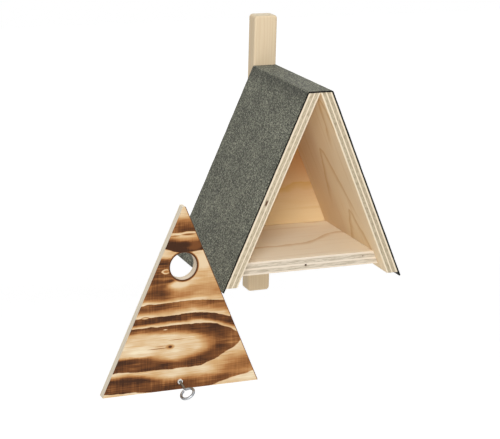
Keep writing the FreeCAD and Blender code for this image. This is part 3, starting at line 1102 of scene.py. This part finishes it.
def turned(profile: Sequence[Pair], place: Matrix, steps: int) -> BMesh:
    """Turn a profile right round +Y and put it in place.

    Args:
        profile: Radius and height along the axis of each corner, in millimetres.
        place: Where the axis goes.
        steps: Facets round the axis.

    Returns:
        The turned solid.
    """
    bm = bmesh.new()
    corners = [bm.verts.new((radius * MM, height * MM, 0)) for radius, height in profile]
    edges = [bm.edges.new(pair) for pair in zip(corners, corners[1:])]
    bmesh.ops.spin(
        bm, geom=corners + edges, cent=(0, 0, 0), axis=(0, 1, 0), angle=math.tau, steps=steps,
        use_merge=True,
    )
    bmesh.ops.remove_doubles(bm, verts=bm.verts, dist=WELD)
    bmesh.ops.dissolve_degenerate(bm, edges=bm.edges, dist=WELD)
    bmesh.ops.recalc_face_normals(bm, faces=bm.faces)
    bmesh.ops.transform(bm, matrix=place, verts=bm.verts)
    return bm


def make_object(name: str, bm: BMesh) -> bpy.types.Object:
    """Turn a bmesh into an object of the scene.

    Args:
        name: Name of the object and of its mesh.
        bm: The shape, which is freed.

    Returns:
        The object.
    """
    mesh = bpy.data.meshes.new(name)
    bm.to_mesh(mesh)
    bm.free()
    thing = bpy.data.objects.new(name, mesh)
    bpy.context.scene.collection.objects.link(thing)
    return thing


def spool(radius: float, length: float, flare: float, place: Matrix) -> bpy.types.Object:
    """Make a cutter for a round hole with eased mouths, in millimetres.

    Args:
        radius: Radius of the hole.
        length: Distance between its two mouths.
        flare: Width of the easing at each mouth.
        place: Where the first mouth is, with the hole along +Y.

    Returns:
        The cutter.
    """
    past, facets = 2.0, 96
    wide = radius + flare + past
    profile = (
        (0, -past), (wide, -past), (radius, flare), (radius, length - flare), (wide, length + past),
        (0, length + past),
    )
    return make_object("cutter", turned(profile, place, facets))


def copy_of(node: str) -> bpy.types.Object:
    """Copy a node of the frame as a closed cutter.

    Args:
        node: Name of the node.

    Returns:
        The cutter.
    """
    bm = bmesh.new()
    bm.from_mesh(frame["nodes"][node].data)
    bmesh.ops.remove_doubles(bm, verts=bm.verts, dist=WELD)
    return make_object("cutter", bm)


def carve(piece: bpy.types.Object, cutters: Sequence[bpy.types.Object]) -> None:
    """Cut shapes out of a piece and drop the cutters.

    Args:
        piece: The piece.
        cutters: Closed shapes.
    """
    for cutter in cutters:
        cut = piece.modifiers.new("cut", "BOOLEAN")
        cut.operation = "DIFFERENCE"
        cut.solver = "EXACT"
        cut.object = cutter
    depsgraph = bpy.context.evaluated_depsgraph_get()
    carved = bpy.data.meshes.new_from_object(piece.evaluated_get(depsgraph))
    piece.modifiers.clear()
    piece.data = carved
    for cutter in cutters:
        bpy.data.objects.remove(cutter)


def settle(
    piece: bpy.types.Object, body: Body, materials: Sequence[bpy.types.Material],
    nodes: Sequence[str],
) -> None:
    """Dress a piece and let it stand for its nodes.

    Args:
        piece: The finished piece.
        body: Body that it rides on.
        materials: Materials, in the order of the faces' indices.
        nodes: Nodes of the frame that it replaces.
    """
    piece.data.materials.clear()
    for material in materials:
        piece.data.materials.append(material)
    piece.data.shade_smooth()
    piece.data.set_sharp_from_angle(angle=SHARP_ANGLE)
    even = piece.modifiers.new("even_shading", "WEIGHTED_NORMAL")
    even.keep_sharp = True
    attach(piece, body.value)
    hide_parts(*nodes)
    LOG.info("%s rides on %s", piece.name, body.value)


def joint(name: str) -> dict:
    """Find a joint of the frame by its name."""
    return next(item for item in frame["joints"] if item["name"] == name)


def box_of(node: str) -> tuple[Vector, Vector]:
    """Lowest and highest corner of a node of the frame, in millimetres."""
    low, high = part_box(node)
    return low / MM, high / MM


def on_line(start: Vector, line: Vector) -> Matrix:
    """Place with its origin at a point and +Y along a line."""
    return Matrix.Translation(start) @ line.to_track_quat("Y", "Z").to_matrix().to_4x4()


@dataclass
class House:
    """The leaning boards, the floor and the back, nailed together."""

    lean: float = math.radians(23.2)
    board_thickness: float = 12.0
    arris: float = 0.35
    pilot_radius: float = 1.2
    pilot_depth: float = 32.0
    front: float = field(init=False)
    feet: float = field(init=False)
    top: float = field(init=False)
    rear: float = field(init=False)

    def __post_init__(self) -> None:
        """Read the boards' place from the frame, in millimetres."""
        low, high = box_of("side_board_left")
        self.front, self.rear = low.y, high.y
        self.feet, self.top = low.z, high.z

    @property
    def board_across(self) -> float:
        """Width of a side board's level cut."""
        return self.board_thickness / math.cos(self.lean)

    def inner_half(self, level: float) -> float:
        """Half the clear width at a height in the part's frame."""
        return (self.top - level) * math.tan(self.lean)

    def ply_axes(self, side: Side) -> tuple[Triple, Triple, Triple]:
        """Directions through, across and along a side board's grain."""
        cos, sin = math.cos(self.lean), math.sin(self.lean)
        return (side.value * cos, 0.0, sin), (0.0, 1.0, 0.0), (-side.value * sin, 0.0, cos)

    def build_side(
        self, side: Side, figures: tuple[Arch, ...], voids: tuple[Void, ...], shift: float,
        plies: tuple[Colour, Colour, Colour], heart_and_shade_share: float,
    ) -> None:
        """Build one leaning board.

        Args:
            side: Which slope.
            figures: Growth lines of its faces.
            voids: Gaps that show in its edges.
            shift: Where its wood starts.
            plies: Light and dark tone of its crossing plies, and the tone of the others.
            heart_and_shade_share: How far its rear half goes over to a darker, warmer tone, partly
                heartwood and partly painted shade deep inside the box.
        """
        sign, low = side.value, self.inner_half(self.feet)
        hand = side.name.lower()
        name = f"side_board_{hand}"
        outline = (
            (0, self.top),
            (sign * self.board_across, self.top),
            (sign * (low + self.board_across), self.feet),
            (sign * low, self.feet),
        )
        shape = prism(outline, self.front, self.rear - self.front, self.arris)
        piece = make_object(f"{name}_finished", shape)
        carve(piece, [copy_of(f"floor_nails_{hand}"), copy_of(f"back_nails_{hand}")])
        through, across, along = self.ply_axes(side)
        finish = PlyFinish(
            name=f"{name}_ply",
            origin=(sign * low, self.front, self.feet),
            through=through, across=across, along=along,
            plies=(1.7, 3.3, 1.5, 3.4, 2.1), figures=figures, shift=shift, voids=voids,
            core_pale=plies[0], core_deep=plies[1], edge=plies[2], heart_and_shade_share=heart_and_shade_share,
        )
        settle(piece, Body.HOUSE, [finish.material()], [name])

    def build_floor(self) -> None:
        """Build the floor with its pilot hole, in line with the eye screw of the seated front."""
        low, high = box_of("floor_board")
        wide, narrow = self.inner_half(low.z), self.inner_half(high.z)
        outline = ((-wide, low.z), (wide, low.z), (narrow, high.z), (-narrow, high.z))
        shape = prism(outline, low.y, high.y - low.y, self.arris)
        piece = make_object("floor_board_finished", shape)
        turn = joint("eye_screw_turn")
        line = Vector(turn["axis"])
        mouth = Vector(turn["pos_m"])
        for slide in (joint("front_carry"), joint("front_seat")):
            mouth += Vector(slide["axis"]) * slide["range_m"][1]
        mouth += line * ((low.y * MM - mouth.y) / line.y)
        pilot = spool(self.pilot_radius, self.pilot_depth, 0.0, on_line(mouth, line))
        carve(piece, [pilot, copy_of("floor_nails_left"), copy_of("floor_nails_right")])
        # Painted shade: a dark patch round the mouth of the pilot hole in the floor's front edge.
        mark = Void(mouth.z / MM - low.z, mouth.x / MM, 1.7, 1.9)
        finish = PlyFinish(
            name="floor_ply", origin=(0, self.front, low.z),
            through=(0, 0, 1), across=(0, 1, 0), along=(1, 0, 0),
            plies=(2.0, 3.7, 2.2, 4.4, 2.2),
            figures=(Sweep(67, 32, 12, 75), Sweep(147)), shift=140,
            voids=(mark, Void(9.9, 66, 0.8, 1.3)),
            core_grain=(1.0, 0.04, 0.09), core_pale=linear(218, 206, 187), core_deep=linear(166, 152, 129),
            edge=linear(229, 216, 197),
            pale=linear(253, 243, 223), deep=linear(249, 233, 206),
        )
        settle(piece, Body.HOUSE, [finish.material()], ["floor_board"])

    def build_back(self) -> None:
        """Build the thin triangular back."""
        low, high = box_of("back_board")
        wide = self.inner_half(low.z)
        outline = ((-wide, low.z), (wide, low.z), (0, self.top))
        shape = prism(outline, low.y, high.y - low.y, self.arris)
        piece = make_object("back_board_finished", shape)
        carve(piece, [copy_of("back_nails_left"), copy_of("back_nails_right"), copy_of("batten_screws")])
        finish = PlyFinish(
            name="back_ply", origin=(0, low.y, low.z),
            through=(0, 1, 0), across=(0, 0, 1), along=(1, 0, 0),
            plies=(1.5, 3.0, 1.5), figures=(Sweep(58, 5, 20, 60), Sweep(112, -9, -30, 20)), shift=190,
            # Heartwood tone and painted shade: the back goes darker and warmer towards the top, under the
            # roof.
            heart_and_shade_from=4.0, heart_and_shade_to=96.0, heart_and_shade_share=0.8,
            pale=linear(246, 226, 184), deep=linear(236, 207, 158),
        )
        settle(piece, Body.HOUSE, [finish.material()], ["back_board"])

    def dress_nails(self, zinc: bpy.types.Material) -> None:
        """Give the hidden nails their metal.

        Args:
            zinc: Plated metal.
        """
        for name, node in frame["nodes"].items():
            if "nails" in name:
                node.data.materials.clear()
                node.data.materials.append(zinc)
                LOG.info("%s rides on %s", name, Body.HOUSE.value)

    def build(self, zinc: bpy.types.Material) -> None:
        """Build all the boards and dress the nails.

        Args:
            zinc: Metal of the nails.
        """
        right = (Arch(67, 138.5, reach=90), Arch(46.3, 66.5, 2.2, 6.0, -0.05), Arch(14, 214, 5.0))
        dull = (linear(197, 182, 155), linear(137, 122, 97), linear(231, 217, 191))
        self.build_side(Side.RIGHT, right, (), 20, dull, 0.2)
        left = (Arch(88, 120), Arch(60, 58, 2.4, 12.0), Arch(110, 190, 3.6))
        fresh = (linear(205, 190, 163), linear(145, 129, 103), linear(229, 215, 191))
        self.build_side(Side.LEFT, left, (Void(7.6, 95, 2.0, 4.8),), 75, fresh, 0.24)
        self.build_floor()
        self.build_back()
        self.dress_nails(zinc)


@dataclass
class Roof:
    """One sheet of felt over both slopes and the ridge."""

    house: House
    thickness: float = 1.6
    drip: float = 5.0
    bend: float = 0.4
    cell: float = 4.0
    ripple: float = 0.3
    ripple_length: float = 22.0
    ragged: float = 0.45
    ragged_length: float = 9.0

    def sheet(self) -> BMesh:
        """Lay the sheet's inner face on the boards.

        Returns:
            The sheet, without thickness.
        """
        house = self.house
        drip_level = house.feet - self.drip * math.cos(house.lean)
        low = house.inner_half(drip_level) + house.board_across
        outline = (
            (-low, drip_level), (-house.board_across, house.top), (house.board_across, house.top),
            (low, drip_level),
        )
        bm = bmesh.new()
        corners = [bm.verts.new((x * MM, house.front * MM, z * MM)) for x, z in outline]
        for pair in zip(corners, corners[1:]):
            bm.edges.new(pair)
        bmesh.ops.bevel(
            bm, geom=corners[1:3], offset=self.bend * MM, segments=3, profile=0.5, affect="VERTICES",
            material=-1,
        )
        for edge in list(bm.edges):
            cuts = round(edge.calc_length() / (self.cell * MM)) - 1
            if cuts > 0:
                bmesh.ops.subdivide_edges(bm, edges=[edge], cuts=cuts)
        rows = round((house.rear - house.front) / self.cell)
        step = (house.rear - house.front) / rows * MM
        edges = list(bm.edges)
        for _ in range(rows):
            verts, grown = split(bmesh.ops.extrude_edge_only(bm, edges=edges)["geom"])
            bmesh.ops.translate(bm, verts=verts, vec=(0, step, 0))
            edges = [edge for edge in grown if abs(edge.verts[0].co.y - edge.verts[1].co.y) < step / 2]
        bmesh.ops.recalc_face_normals(bm, faces=bm.faces)
        if sum(face.normal.z for face in bm.faces) < 0:
            bmesh.ops.reverse_faces(bm, faces=bm.faces)
        return bm

    def weather(self, bm: BMesh) -> None:
        """Let the sheet ripple and its cut edges run a little unevenly.

        Args:
            bm: The sheet.
        """
        bm.normal_update()
        ends = (self.house.front, self.house.rear)
        elsewhere = Vector((7, 3, 1))
        for vert in bm.verts:
            lift = lattice.noise(vert.co / (self.ripple_length * MM)) * 0.5 + 0.5
            stray = lattice.noise(vert.co / (self.ragged_length * MM) + elsewhere)
            at_edge = min(abs(vert.co.y / MM - end) for end in ends) < self.cell / 2
            vert.co += vert.normal * lift * self.ripple * MM
            if at_edge:
                vert.co.y += stray * self.ragged * MM

    def build(self) -> None:
        """Build and dress the felt."""
        bm = self.sheet()
        self.weather(bm)
        piece = make_object("roof_felt_finished", bm)
        skin = piece.modifiers.new("thickness", "SOLIDIFY")
        skin.thickness = self.thickness * MM
        skin.offset = 1.0
        skin.material_offset = 1
        skin.material_offset_rim = 1
        grit = FeltFinish("roofing_felt_grit", self.house.top).material()
        bitumen = BitumenFinish("roofing_felt_bitumen").material()
        settle(piece, Body.HOUSE, [grit, bitumen], ["roof_felt"])


@dataclass
class Lath:
    """The hanging lath and the two screws that hold it."""

    corner: float = 4.0
    easing: float = 2.4
    head_radius: float = 3.5
    head_edge: float = 0.15
    shank_radius: float = 1.75
    screw_length: float = 24.0
    point: float = 4.0
    recess: float = 2.1
    blade: float = 0.95
    blade_foot: float = 0.4
    blade_mouth: float = 1.6
    blade_depth: float = 3.0
    facets: int = 48

    @staticmethod
    def runs_back(edge: bmesh.types.BMEdge) -> bool:
        """Tell the edges through the lath's thickness from those round its two faces."""
        return abs(edge.verts[0].co.y - edge.verts[1].co.y) > MM

    def build_lath(self) -> None:
        """Build the planed lath."""
        low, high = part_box("hanging_batten")
        bm = bmesh.new()
        size, middle = high - low, (high + low) / 2
        stretch = Matrix.Diagonal((*size, 1.0))
        bmesh.ops.create_cube(bm, size=1.0, matrix=Matrix.Translation(middle) @ stretch)
        ease(bm, [edge for edge in bm.edges if self.runs_back(edge)], self.corner * MM, 8)
        ease(bm, [edge for edge in bm.edges if not self.runs_back(edge)], self.easing * MM, 4)
        piece = make_object("hanging_batten_finished", bm)
        carve(piece, [copy_of("batten_screws")])
        spruce = SpruceFinish("planed_spruce").material()
        settle(piece, Body.HOUSE, [spruce], ["hanging_batten"])

    def recess_cutter(self, place: Matrix) -> list[bpy.types.Object]:
        """Make the two tapered blades of a cross recess.

        Args:
            place: Where the middle of the screw's head is.

        Returns:
            The blades.
        """
        blades: list[bpy.types.Object] = []
        upright = place @ Matrix.Rotation(-math.pi / 2, 4, "X")
        square = Matrix.Rotation(math.pi / 4, 3, "Z")
        reach = self.recess * MM
        for turn in (0, math.pi / 2):
            bm = bmesh.new()
            bmesh.ops.create_cone(
                bm, cap_ends=True, segments=4, radius1=self.blade_foot * reach,
                radius2=self.blade_mouth * reach, depth=self.blade_depth * reach,
            )
            bmesh.ops.rotate(bm, cent=(0, 0, 0), matrix=square, verts=bm.verts)
            bmesh.ops.scale(bm, vec=(1.0, self.blade / self.recess, 1.0), verts=bm.verts)
            bmesh.ops.transform(bm, matrix=upright @ Matrix.Rotation(turn, 4, "Z"), verts=bm.verts)
            blades.append(make_object("cutter", bm))
        return blades

    def build_screws(self, zinc: bpy.types.Material) -> None:
        """Build the countersunk screws, heads flush with the lath's rear face.

        Args:
            zinc: Metal of the screws.
        """
        low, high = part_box("batten_screws")
        levels = (low.z + self.head_radius * MM, high.z - self.head_radius * MM)
        places = [Matrix.Translation((0, high.y, level)) for level in levels]
        profile = (
            (0, 0), (self.head_radius - self.head_edge, 0), (self.head_radius, -self.head_edge),
            (self.shank_radius, self.shank_radius - self.head_radius),
            (self.shank_radius, self.point - self.screw_length), (0, -self.screw_length),
        )
        bm = turned(profile, places[0], self.facets)
        twin = bmesh.ops.duplicate(bm, geom=[*bm.verts, *bm.edges, *bm.faces])["geom"]
        bmesh.ops.translate(bm, verts=split(twin)[0], vec=(0, 0, levels[1] - levels[0]))
        piece = make_object("batten_screws_finished", bm)
        carve(piece, [blade for place in places for blade in self.recess_cutter(place)])
        settle(piece, Body.HOUSE, [zinc], ["batten_screws"])

    def build(self, zinc: bpy.types.Material) -> None:
        """Build the lath and its screws."""
        self.build_lath()
        self.build_screws(zinc)


@dataclass
class Front:
    """The triangular front with its entrance, and the washer on it."""

    tip: float = 3.0
    hole_radius: float = 14.5
    hole_height: float = 135.0
    hole_easing: float = 0.5
    screw_hole_radius: float = 1.7
    arris: float = 0.45
    washer_radius: float = 3.0
    washer_thickness: float = 1.8
    washer_bore: float = 1.8
    washer_facets: int = 48

    def build_panel(self) -> None:
        """Build the scorched front."""
        low, high = box_of("front_panel")
        middle, half = (low.x + high.x) / 2, (high.x - low.x) / 2
        tall, thick = high.z - low.z, high.y - low.y
        outline = (
            (middle - half, low.z), (middle + half, low.z), (middle + self.tip / 2, high.z),
            (middle - self.tip / 2, high.z),
        )
        shape = prism(outline, low.y, thick, self.arris)
        piece = make_object("front_panel_finished", shape)
        entrance = Matrix.Translation(Vector((middle, low.y, low.z + self.hole_height)) * MM)
        hinge = joint("eye_screw_turn")
        line = Vector(hinge["axis"])
        carve(piece, [
            spool(self.hole_radius, thick, self.hole_easing, entrance),
            spool(self.screw_hole_radius, thick / line.y, 0.0, on_line(Vector(hinge["pos_m"]), line)),
        ])
        finish = ScorchFinish(
            name="front_panel_ply", origin=(middle, low.y, low.z),
            through=(0, 1, 0), across=(0, 0, 1), along=(1, 0, 0),
            plies=(1.9, 2.2, 2.3, 2.2, 1.9), figures=(Sweep(42), Sweep(95, 8, -40, 40)), shift=260,
            core_grain=(0.7, 0.03, 0.03), core_pale=linear(234, 222, 199), core_deep=linear(217, 203, 178),
            edge=linear(236, 224, 203), glue=linear(216, 201, 175),
            half_base=half, hole_height=self.hole_height, hole_radius=self.hole_radius,
            lean=math.atan2(half - self.tip / 2, tall),
        )
        settle(piece, Body.FRONT, [finish.material()], ["front_panel"])

    def build_washer(self, zinc: bpy.types.Material) -> None:
        """Build the cup washer under the eye screw.

        Args:
            zinc: Metal of the washer.
        """
        low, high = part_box("screw_washer")
        centre = Vector(((low.x + high.x) / 2, high.y, (low.z + high.z) / 2))
        bore, rim, face = self.washer_bore, self.washer_radius, -self.washer_thickness
        crown = (bore + rim) / 2
        profile = ((bore, 0), (rim, 0), (rim, face / 3), (crown, face), (bore, face), (bore, 0))
        bm = turned(profile, Matrix.Translation(centre), self.washer_facets)
        piece = make_object("screw_washer_finished", bm)
        settle(piece, Body.WASHER, [zinc], ["screw_washer"])

    def build(self, zinc: bpy.types.Material) -> None:
        """Build the front and its washer."""
        self.build_panel()
        self.build_washer(zinc)


@dataclass
class EyeScrew:
    """The eye screw: one bent wire with a cut thread and a point, in millimetres along its own +Y."""

    wire: float = 1.4
    shank: float = 20.0
    point: float = 4.0
    tip_share: float = 0.12
    reach: float = 24.0
    ring: float = 7.1
    bend: float = 3.0
    gap: float = 0.3
    cut_easing: float = 0.35
    turn: float = math.radians(-32)
    facets: int = 20
    bend_steps: int = 14
    ring_steps: int = 72
    pitch: float = 1.5
    crest: float = 0.22
    sink: float = 0.08
    flank: float = 0.34
    thread_start: float = 1.5
    thread_steps: int = 20
    runout: float = 0.8
    thread_tip: float = 0.15
    weld: float = 1e-5

    def place(self) -> Matrix:
        """Put the wire's own +Y along the screw's line, with the eye turned.

        Returns:
            The place.
        """
        hinge = joint("eye_screw_turn")
        line = Vector(hinge["axis"])
        slope = Matrix.Rotation(math.atan2(line.z, line.y), 4, "X")
        return Matrix.Translation(hinge["pos_m"]) @ slope @ Matrix.Rotation(self.turn, 4, "Y")

    def bent_wire(self) -> BMesh:
        """Sweep the wire: shank, bend to one side, round of the eye, cut end and point.

        Returns:
            The wire.
        """
        rise = math.sqrt(self.ring ** 2 + 2 * self.ring * self.bend)
        lean = math.atan2(rise, self.bend)
        cut_end = math.acos((-self.wire - self.gap) / self.ring)
        bm = bmesh.new()
        start = Matrix.Translation((0, self.shank, 0)) @ Matrix.Rotation(math.pi / 2, 4, "X")
        first = bmesh.ops.create_circle(
            bm, cap_ends=False, segments=self.facets, radius=self.wire, matrix=start
        )["verts"]
        bmesh.ops.extrude_edge_only(bm, edges=list(bm.edges))
        moved = [vert for vert in bm.verts if vert not in first]
        bmesh.ops.translate(bm, verts=moved, vec=(0, rise - self.reach - self.shank, 0))
        ends = set(moved)
        swept = moved + [edge for edge in bm.edges if ends.issuperset(edge.verts)]
        for centre, angle, steps in (
            ((self.bend, rise - self.reach, 0), lean, self.bend_steps),
            ((0, -self.reach, 0), cut_end - lean - math.tau, self.ring_steps),
        ):
            swept = bmesh.ops.spin(
                bm, geom=swept, cent=centre, axis=(0, 0, 1), angle=angle, steps=steps
            )["geom_last"]
        cap = bmesh.ops.contextual_create(bm, geom=split(swept)[1])["faces"]
        ease(bm, [edge for face in cap for edge in face.edges], self.cut_easing, 2)
        open_end = [edge for edge in bm.edges if edge.is_boundary]
        tip = bmesh.ops.contextual_create(bm, geom=open_end)["faces"]
        to_end = Matrix.Translation((0, -(self.shank + self.point), 0))
        for face in bmesh.ops.extrude_discrete_faces(bm, faces=tip)["faces"]:
            bmesh.ops.translate(bm, verts=face.verts, vec=(0, self.point, 0))
            bmesh.ops.scale(bm, vec=(self.tip_share, 1, self.tip_share), verts=face.verts, space=to_end)
        return bm

    def thread(self, bm: BMesh) -> None:
        """Wind a sharp ridge along the shank, running out at the point.

        Args:
            bm: The wire, to which the ridge is added.
        """
        before = set(bm.verts)
        turns = (self.shank + self.point * self.runout - self.thread_start) / self.pitch
        root, half = self.wire - self.sink, self.pitch * self.flank
        section = ((root, -half), (self.wire + self.crest, 0), (root, half))
        corners = [bm.verts.new((radius, self.thread_start + height, 0)) for radius, height in section]
        edges = list(bm.faces.new(corners).edges)
        last = bmesh.ops.spin(
            bm, geom=corners + edges, cent=(0, 0, 0), axis=(0, 1, 0), angle=turns * math.tau,
            steps=round(turns * self.thread_steps), dvec=(0, self.pitch / self.thread_steps, 0),
        )["geom_last"]
        bmesh.ops.contextual_create(bm, geom=split(last)[1])
        for vert in bm.verts:
            past = vert.co.y - self.shank
            if vert not in before and past > 0:
                share = max(self.thread_tip, 1 - past / self.point)
                vert.co.x *= share
                vert.co.z *= share

    def build(self, zinc: bpy.types.Material) -> None:
        """Build and dress the eye screw.

        Args:
            zinc: Metal of the wire.
        """
        bm = self.bent_wire()
        self.thread(bm)
        bmesh.ops.remove_doubles(bm, verts=bm.verts, dist=self.weld)
        bmesh.ops.recalc_face_normals(bm, faces=bm.faces)
        bmesh.ops.scale(bm, vec=(MM, MM, MM), verts=bm.verts)
        bmesh.ops.transform(bm, matrix=self.place(), verts=bm.verts)
        piece = make_object("eye_screw_finished", bm)
        settle(piece, Body.SCREW, [zinc], ["eye_screw"])


@dataclass(frozen=True)
class Softbox:
    """One soft studio lamp."""

    name: str
    place: Triple
    width: float
    height: float
    watts: float

    def hang(self, aim: Vector) -> None:
        """Hang the lamp and point it at the object.

        Args:
            aim: Middle of the object.
        """
        lamp = bpy.data.lights.new(self.name, "AREA")
        lamp.shape = "RECTANGLE"
        lamp.size, lamp.size_y = self.width, self.height
        lamp.energy = self.watts
        holder = bpy.data.objects.new(self.name, lamp)
        holder.location = self.place
        holder.rotation_euler = (aim - Vector(self.place)).to_track_quat("-Z", "Y").to_euler()
        bpy.context.scene.collection.objects.link(holder)


@dataclass
class Studio:
    """White room, pale floor, soft lamps and the camera at the photographed angle."""

    image_width: int = 500
    focal_pixels: float = 1650.0
    sensor: float = 36.0
    nearest: float = 0.05
    farthest: float = 100.0
    yaw: float = math.radians(22.336)
    pitch: float = math.radians(15.809)
    roll: float = math.radians(1.541)
    eye: Triple = (-0.7057, -1.7044, 0.4421)
    ambient: float = 0.42
    floor_level: float = -1.2
    floor_half: float = 8.0
    floor_tone: float = 0.85
    floor_roughness: float = 0.9
    floor_far: float = 5.0
    glow_near: float = 0.36
    glow_far: float = 0.655
    lamps: tuple[Softbox, ...] = (
        Softbox("key_lamp", (-0.85, -2.05, 1.12), 0.8, 0.8, 33.0),
        Softbox("low_lamp", (-0.5, -2.2, -0.7), 1.2, 0.8, 7.0),
        Softbox("top_lamp", (0.2, -0.2, 2.0), 1.4, 1.4, 8.0),
        Softbox("right_lamp", (2.2, 0.6, 0.8), 1.2, 1.4, 4.0),
        Softbox("rear_lamp", (0.3, 2.3, 0.9), 1.4, 1.2, 14.0),
    )

    def set_camera(self) -> None:
        """Put the camera where the photograph was taken from."""
        flat = math.cos(self.pitch)
        ahead = Vector((math.sin(self.yaw) * flat, math.cos(self.yaw) * flat, -math.sin(self.pitch)))
        level = Vector((math.cos(self.yaw), -math.sin(self.yaw), 0))
        upright = level.cross(ahead)
        right = level * math.cos(self.roll) + upright * math.sin(self.roll)
        up = upright * math.cos(self.roll) - level * math.sin(self.roll)
        camera = bpy.data.cameras.new("photo_camera")
        camera.sensor_fit = "HORIZONTAL"
        camera.sensor_width = self.sensor
        camera.lens = self.focal_pixels / self.image_width * self.sensor
        camera.clip_start, camera.clip_end = self.nearest, self.farthest
        holder = bpy.data.objects.new("photo_camera", camera)
        holder.matrix_world = Matrix((
            (right.x, up.x, -ahead.x, self.eye[0]),
            (right.y, up.y, -ahead.y, self.eye[1]),
            (right.z, up.z, -ahead.z, self.eye[2]),
            (0, 0, 0, 1),
        ))
        bpy.context.scene.collection.objects.link(holder)
        bpy.context.scene.camera = holder

    @staticmethod
    def seen_directly(tree: bpy.types.NodeTree) -> Socket:
        """Tell rays that show the background from rays that light the object.

        Args:
            tree: Nodes of the world or of a material.

        Returns:
            1 for rays from the camera, a mirror or a window, 0 for others.
        """
        rays = tree.nodes.new("ShaderNodeLightPath")
        total = rays.outputs["Is Camera Ray"]
        for name in ("Is Glossy Ray", "Is Transmission Ray"):
            either = tree.nodes.new("ShaderNodeMath")
            either.operation = "MAXIMUM"
            tree.links.new(total, either.inputs[0])
            tree.links.new(rays.outputs[name], either.inputs[1])
            total = either.outputs[0]
        return total

    def set_world(self) -> None:
        """Make the surroundings white to look at and evenly lit."""
        world = bpy.data.worlds.new("white_room")
        world.use_nodes = True
        tree = world.node_tree
        lit = tree.nodes["Background"]
        lit.inputs["Color"].default_value = WHITE
        lit.inputs["Strength"].default_value = self.ambient
        shown = tree.nodes.new("ShaderNodeBackground")
        shown.inputs["Color"].default_value = WHITE
        shown.inputs["Strength"].default_value = 1.0
        choose = tree.nodes.new("ShaderNodeMixShader")
        tree.links.new(self.seen_directly(tree), choose.inputs[0])
        tree.links.new(lit.outputs[0], choose.inputs[1])
        tree.links.new(shown.outputs[0], choose.inputs[2])
        tree.links.new(choose.outputs[0], tree.nodes["World Output"].inputs["Surface"])
        bpy.context.scene.world = world

    def lay_floor(self) -> None:
        """Lay a pale floor well below the hanging box, just white to look at where no shadow falls."""
        bm = bmesh.new()
        bmesh.ops.create_grid(
            bm, x_segments=1, y_segments=1, size=self.floor_half,
            matrix=Matrix.Translation((0, 0, self.floor_level)),
        )
        floor = make_object("floor", bm)
        graph = Graph("pale_floor")
        matt = graph.surface
        matt.inputs["Base Color"].default_value = (*(self.floor_tone,) * 3, 1.0)
        matt.inputs["Roughness"].default_value = self.floor_roughness
        wide, deep, *_ = graph.local()
        away = (wide * wide + deep * deep).root().fade(0.0, self.floor_far / MM)
        strength = away * (self.glow_far - self.glow_near) + self.glow_near
        glow = graph.add("ShaderNodeEmission", {"Strength": strength})
        shown = graph.add("ShaderNodeAddShader", {0: matt.outputs[0], 1: glow.outputs[0]})
        choose = graph.add("ShaderNodeMixShader", {
            0: self.seen_directly(graph.tree), 1: matt.outputs[0], 2: shown.outputs[0],
        })
        graph.feed(graph.tree.nodes["Material Output"].inputs["Surface"], choose.outputs[0])
        floor.data.materials.append(graph.material)

    def build(self) -> None:
        """Set up the camera, the room, the floor and the lamps."""
        self.set_camera()
        self.set_world()
        self.lay_floor()
        low, high = CAD_BOX
        for lamp in self.lamps:
            lamp.hang((low + high) / 2)
        bpy.context.scene.view_settings.view_transform = "Standard"


def main() -> None:
    """Build and dress the nest box, then set up the studio."""
    logging.basicConfig(level=logging.INFO)
    zinc = ZincFinish(
        "zinc_wire", linear(176, 179, 182), linear(136, 138, 142), linear(120, 122, 126)
    ).material()
    plated = ZincFinish(
        "bright_zinc", linear(240, 243, 241), linear(220, 224, 221), linear(235, 238, 236), 0.45
    ).material()
    house = House()
    house.build(zinc)
    Roof(house).build()
    Lath().build(zinc)
    Front().build(plated)
    EyeScrew().build(zinc)
    Studio().build()


if __name__ == "__main__":
    main()
